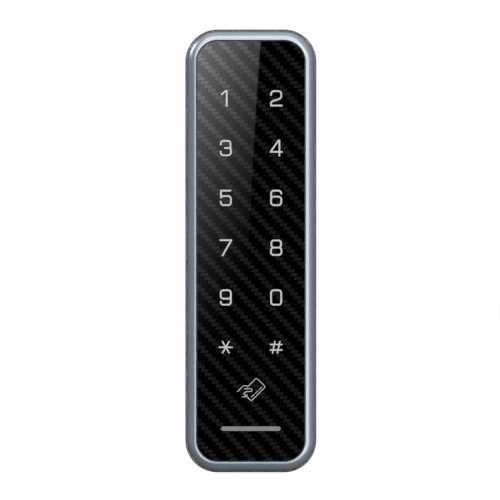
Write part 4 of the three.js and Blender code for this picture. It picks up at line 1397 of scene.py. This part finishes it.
VIEW_WIDTH = 168.0  # width of the camera's view at the cover's rim
LENS = 1200.0
SENSOR = 36.0
CAMERA_X = -0.28
CAMERA_Z = 0.32
CAMERA_Y = SPLIT - VIEW_WIDTH / SENSOR * LENS


def camera():
    data = bpy.data.cameras.new("camera")
    data.lens = LENS
    data.sensor_width = SENSOR
    data.clip_start, data.clip_end = 0.05, 60.0
    made = bpy.data.objects.new("camera", data)
    made.location = (CAMERA_X * MM, CAMERA_Y * MM, CAMERA_Z * MM)
    made.rotation_euler = (math.pi / 2, 0, 0)
    bpy.context.scene.collection.objects.link(made)
    bpy.context.scene.camera = made


def softbox(name, azimuth, elevation, across, high, radiance, distance=1.6):
    """A soft light aimed at the reader, placed and sized by the angles it fills as seen from there.

    Azimuth 0 is straight in front and 90 is on the reader's right."""
    a, e = math.radians(azimuth), math.radians(elevation)
    toward = Vector((math.sin(a) * math.cos(e), -math.cos(a) * math.cos(e), math.sin(e)))
    data = bpy.data.lights.new(name, "AREA")
    data.shape = "RECTANGLE"
    data.size = 2 * distance * math.tan(math.radians(across / 2))
    data.size_y = 2 * distance * math.tan(math.radians(high / 2))
    data.energy = radiance * math.pi * data.size * data.size_y
    lamp = bpy.data.objects.new(name, data)
    lamp.location = toward * distance
    lamp.rotation_mode = "QUATERNION"
    lamp.rotation_quaternion = toward.to_track_quat("Z", "Y")
    lamp.visible_camera = False
    bpy.context.scene.collection.objects.link(lamp)
    return lamp


def surroundings():
    """White behind the object, and for its reflections a grey room that is dark straight ahead.

    The room is brighter above than below, and a little brighter on the right than on the left."""
    room_level = 0.5
    world = bpy.data.worlds.new("studio")
    world.use_nodes = True
    bpy.context.scene.world = world
    world.node_tree.nodes.clear()
    sky = Nodes(world.node_tree)
    smooth_step = {"interpolation_type": "SMOOTHSTEP"}
    x, y, z = sky.node("SeparateXYZ", {0: sky.node("TexCoord").outputs["Generated"]}).outputs
    ahead = sky.node("MapRange", {0: y, 1: -0.994, 2: -0.7, 3: 0.0, 4: 1.0}, **smooth_step).outputs[0]
    behind = sky.node("MapRange", {0: y, 1: 0.0, 2: 0.85, 3: 1.0, 4: 0.25}, **smooth_step).outputs[0]
    height = sky.math("MULTIPLY_ADD", z, sky.math("MULTIPLY_ADD", z, 0.3, 0.6), 1.0)
    slant = sky.math("MULTIPLY_ADD", x, 0.16, height)
    facing = sky.math("MULTIPLY", ahead, behind)
    strength = sky.math("MULTIPLY", facing, sky.math("MULTIPLY", slant, room_level))
    room = sky.node("Background", {0: (1, 1, 1, 1), 1: strength}).outputs[0]
    white = sky.node("Background", {0: (1, 1, 1, 1), 1: 1.0}).outputs[0]
    camera_ray = sky.node("LightPath").outputs["Is Camera Ray"]
    shown = sky.node("MixShader", {0: camera_ray, 1: room, 2: white}).outputs[0]
    sky.node("OutputWorld", {0: shown})


def floor():
    """A large pale floor below the reader."""
    size, level = 30000.0, -100.0
    outline = [(-size, -size), (size, -size), (size, size), (-size, size)]
    plane = prism("studio_floor", outline, level - 5, level, "Z")
    plane.data.transform(Matrix.Scale(MM, 4))
    finish = Finish("pale_floor", (0.5, 0.5, 0.5), 0.9)
    finish.shader.inputs["Emission Color"].default_value = (1, 1, 1, 1)
    finish.shader.inputs["Emission Strength"].default_value = 0.69
    plane.data.materials.append(finish.material)
    plane.visible_diffuse = False
    plane.visible_glossy = False


def glare_card():
    """A faint window of light that the polished panel mirrors towards the camera.

    It is drawn as it shows on the panel, then scaled out from the panel about the camera's axis."""
    mirrored = 25.0  # the inverse of the share of light that polished plastic mirrors
    away = 500.0
    share = away / (GLASS - CAMERA_Y)
    left, top, bottom = -19.0, 74.0, -48
    right_edge = [(-0.7 + 0.0417 * z + 0.0002 * z * z, z) for z in range(bottom, 73, 6)]
    outline = [(left, top), (left, bottom)] + right_edge
    moved = [(x * (1 + share) - CAMERA_X * share, z * (1 + share) - CAMERA_Z * share) for x, z in outline]
    card = prism("glare_card", moved, GLASS - away, GLASS - away - 0.5)
    card.data.transform(Matrix.Scale(MM, 4))
    finish = Finish("glare_light", (0, 0, 0), 1.0)
    x, _, z = finish.node("SeparateXYZ", {0: finish.place}).outputs
    on_glass = 1 / ((1 + share) * MM)
    rise = finish.math("MULTIPLY", z, 0.00935 * on_glass)
    level = finish.math("SUBTRACT", rise, finish.math("MULTIPLY", x, 0.0193 * on_glass))
    level = finish.math("SMOOTH_MAX", finish.math("ADD", level, 0.11), 0.0, 0.1)
    shown = finish.math("MULTIPLY", finish.math("POWER", level, 1.28), 0.368)
    light = finish.math("SUBTRACT", finish.math("POWER", finish.math("ADD", shown, 0.052), 2.4), 0.00083)
    strength = finish.math("MULTIPLY", finish.math("MAXIMUM", light, 0.0), mirrored)
    finish.tree.nodes.remove(finish.shader)
    glow = finish.node("Emission", {"Strength": strength})
    finish.tree.links.new(glow.outputs[0], finish.tree.nodes["Material Output"].inputs[0])
    card.data.materials.append(finish.material)
    card.visible_camera = False
    card.visible_diffuse = False
    card.visible_shadow = False


def studio():
    surroundings()
    floor()
    glare_card()
    softbox("right_light", 31, 0, 46, 50, 1.75)
    softbox("left_light", -18.5, 0, 21, 50, 1.35)
    softbox("top_light", 0, 36, 60, 56, 1.75)
    softbox("low_light", 0, -19, 50, 22, 1.2)
    softbox("corner_light", -98, 30, 30, 24, 3.4)
    softbox("overhead_light", 180, 78, 50, 40, 0.25)
    softbox("rear_light", 180, 0, 26, 24, 5.0)
    bpy.context.scene.view_settings.view_transform = "Standard"


# ----------------------------------------------------------------------------------- build

camera()
studio()

steel = plated_steel("zinc_sheet", (0.72, 0.73, 0.74), roughness=0.42)
bright = plated_steel("zinc_fastener", (0.66, 0.67, 0.68), (1, 1, 1), 0.26)

bezel()
panel_glass()
key_legends()
card_symbol()
status_window()
cover()
grommet()
seal()
reader_screws(bright)
lock_screw(bright)
washer(bright)
plunger()
spring(bright)
bracket(steel)
electronics()
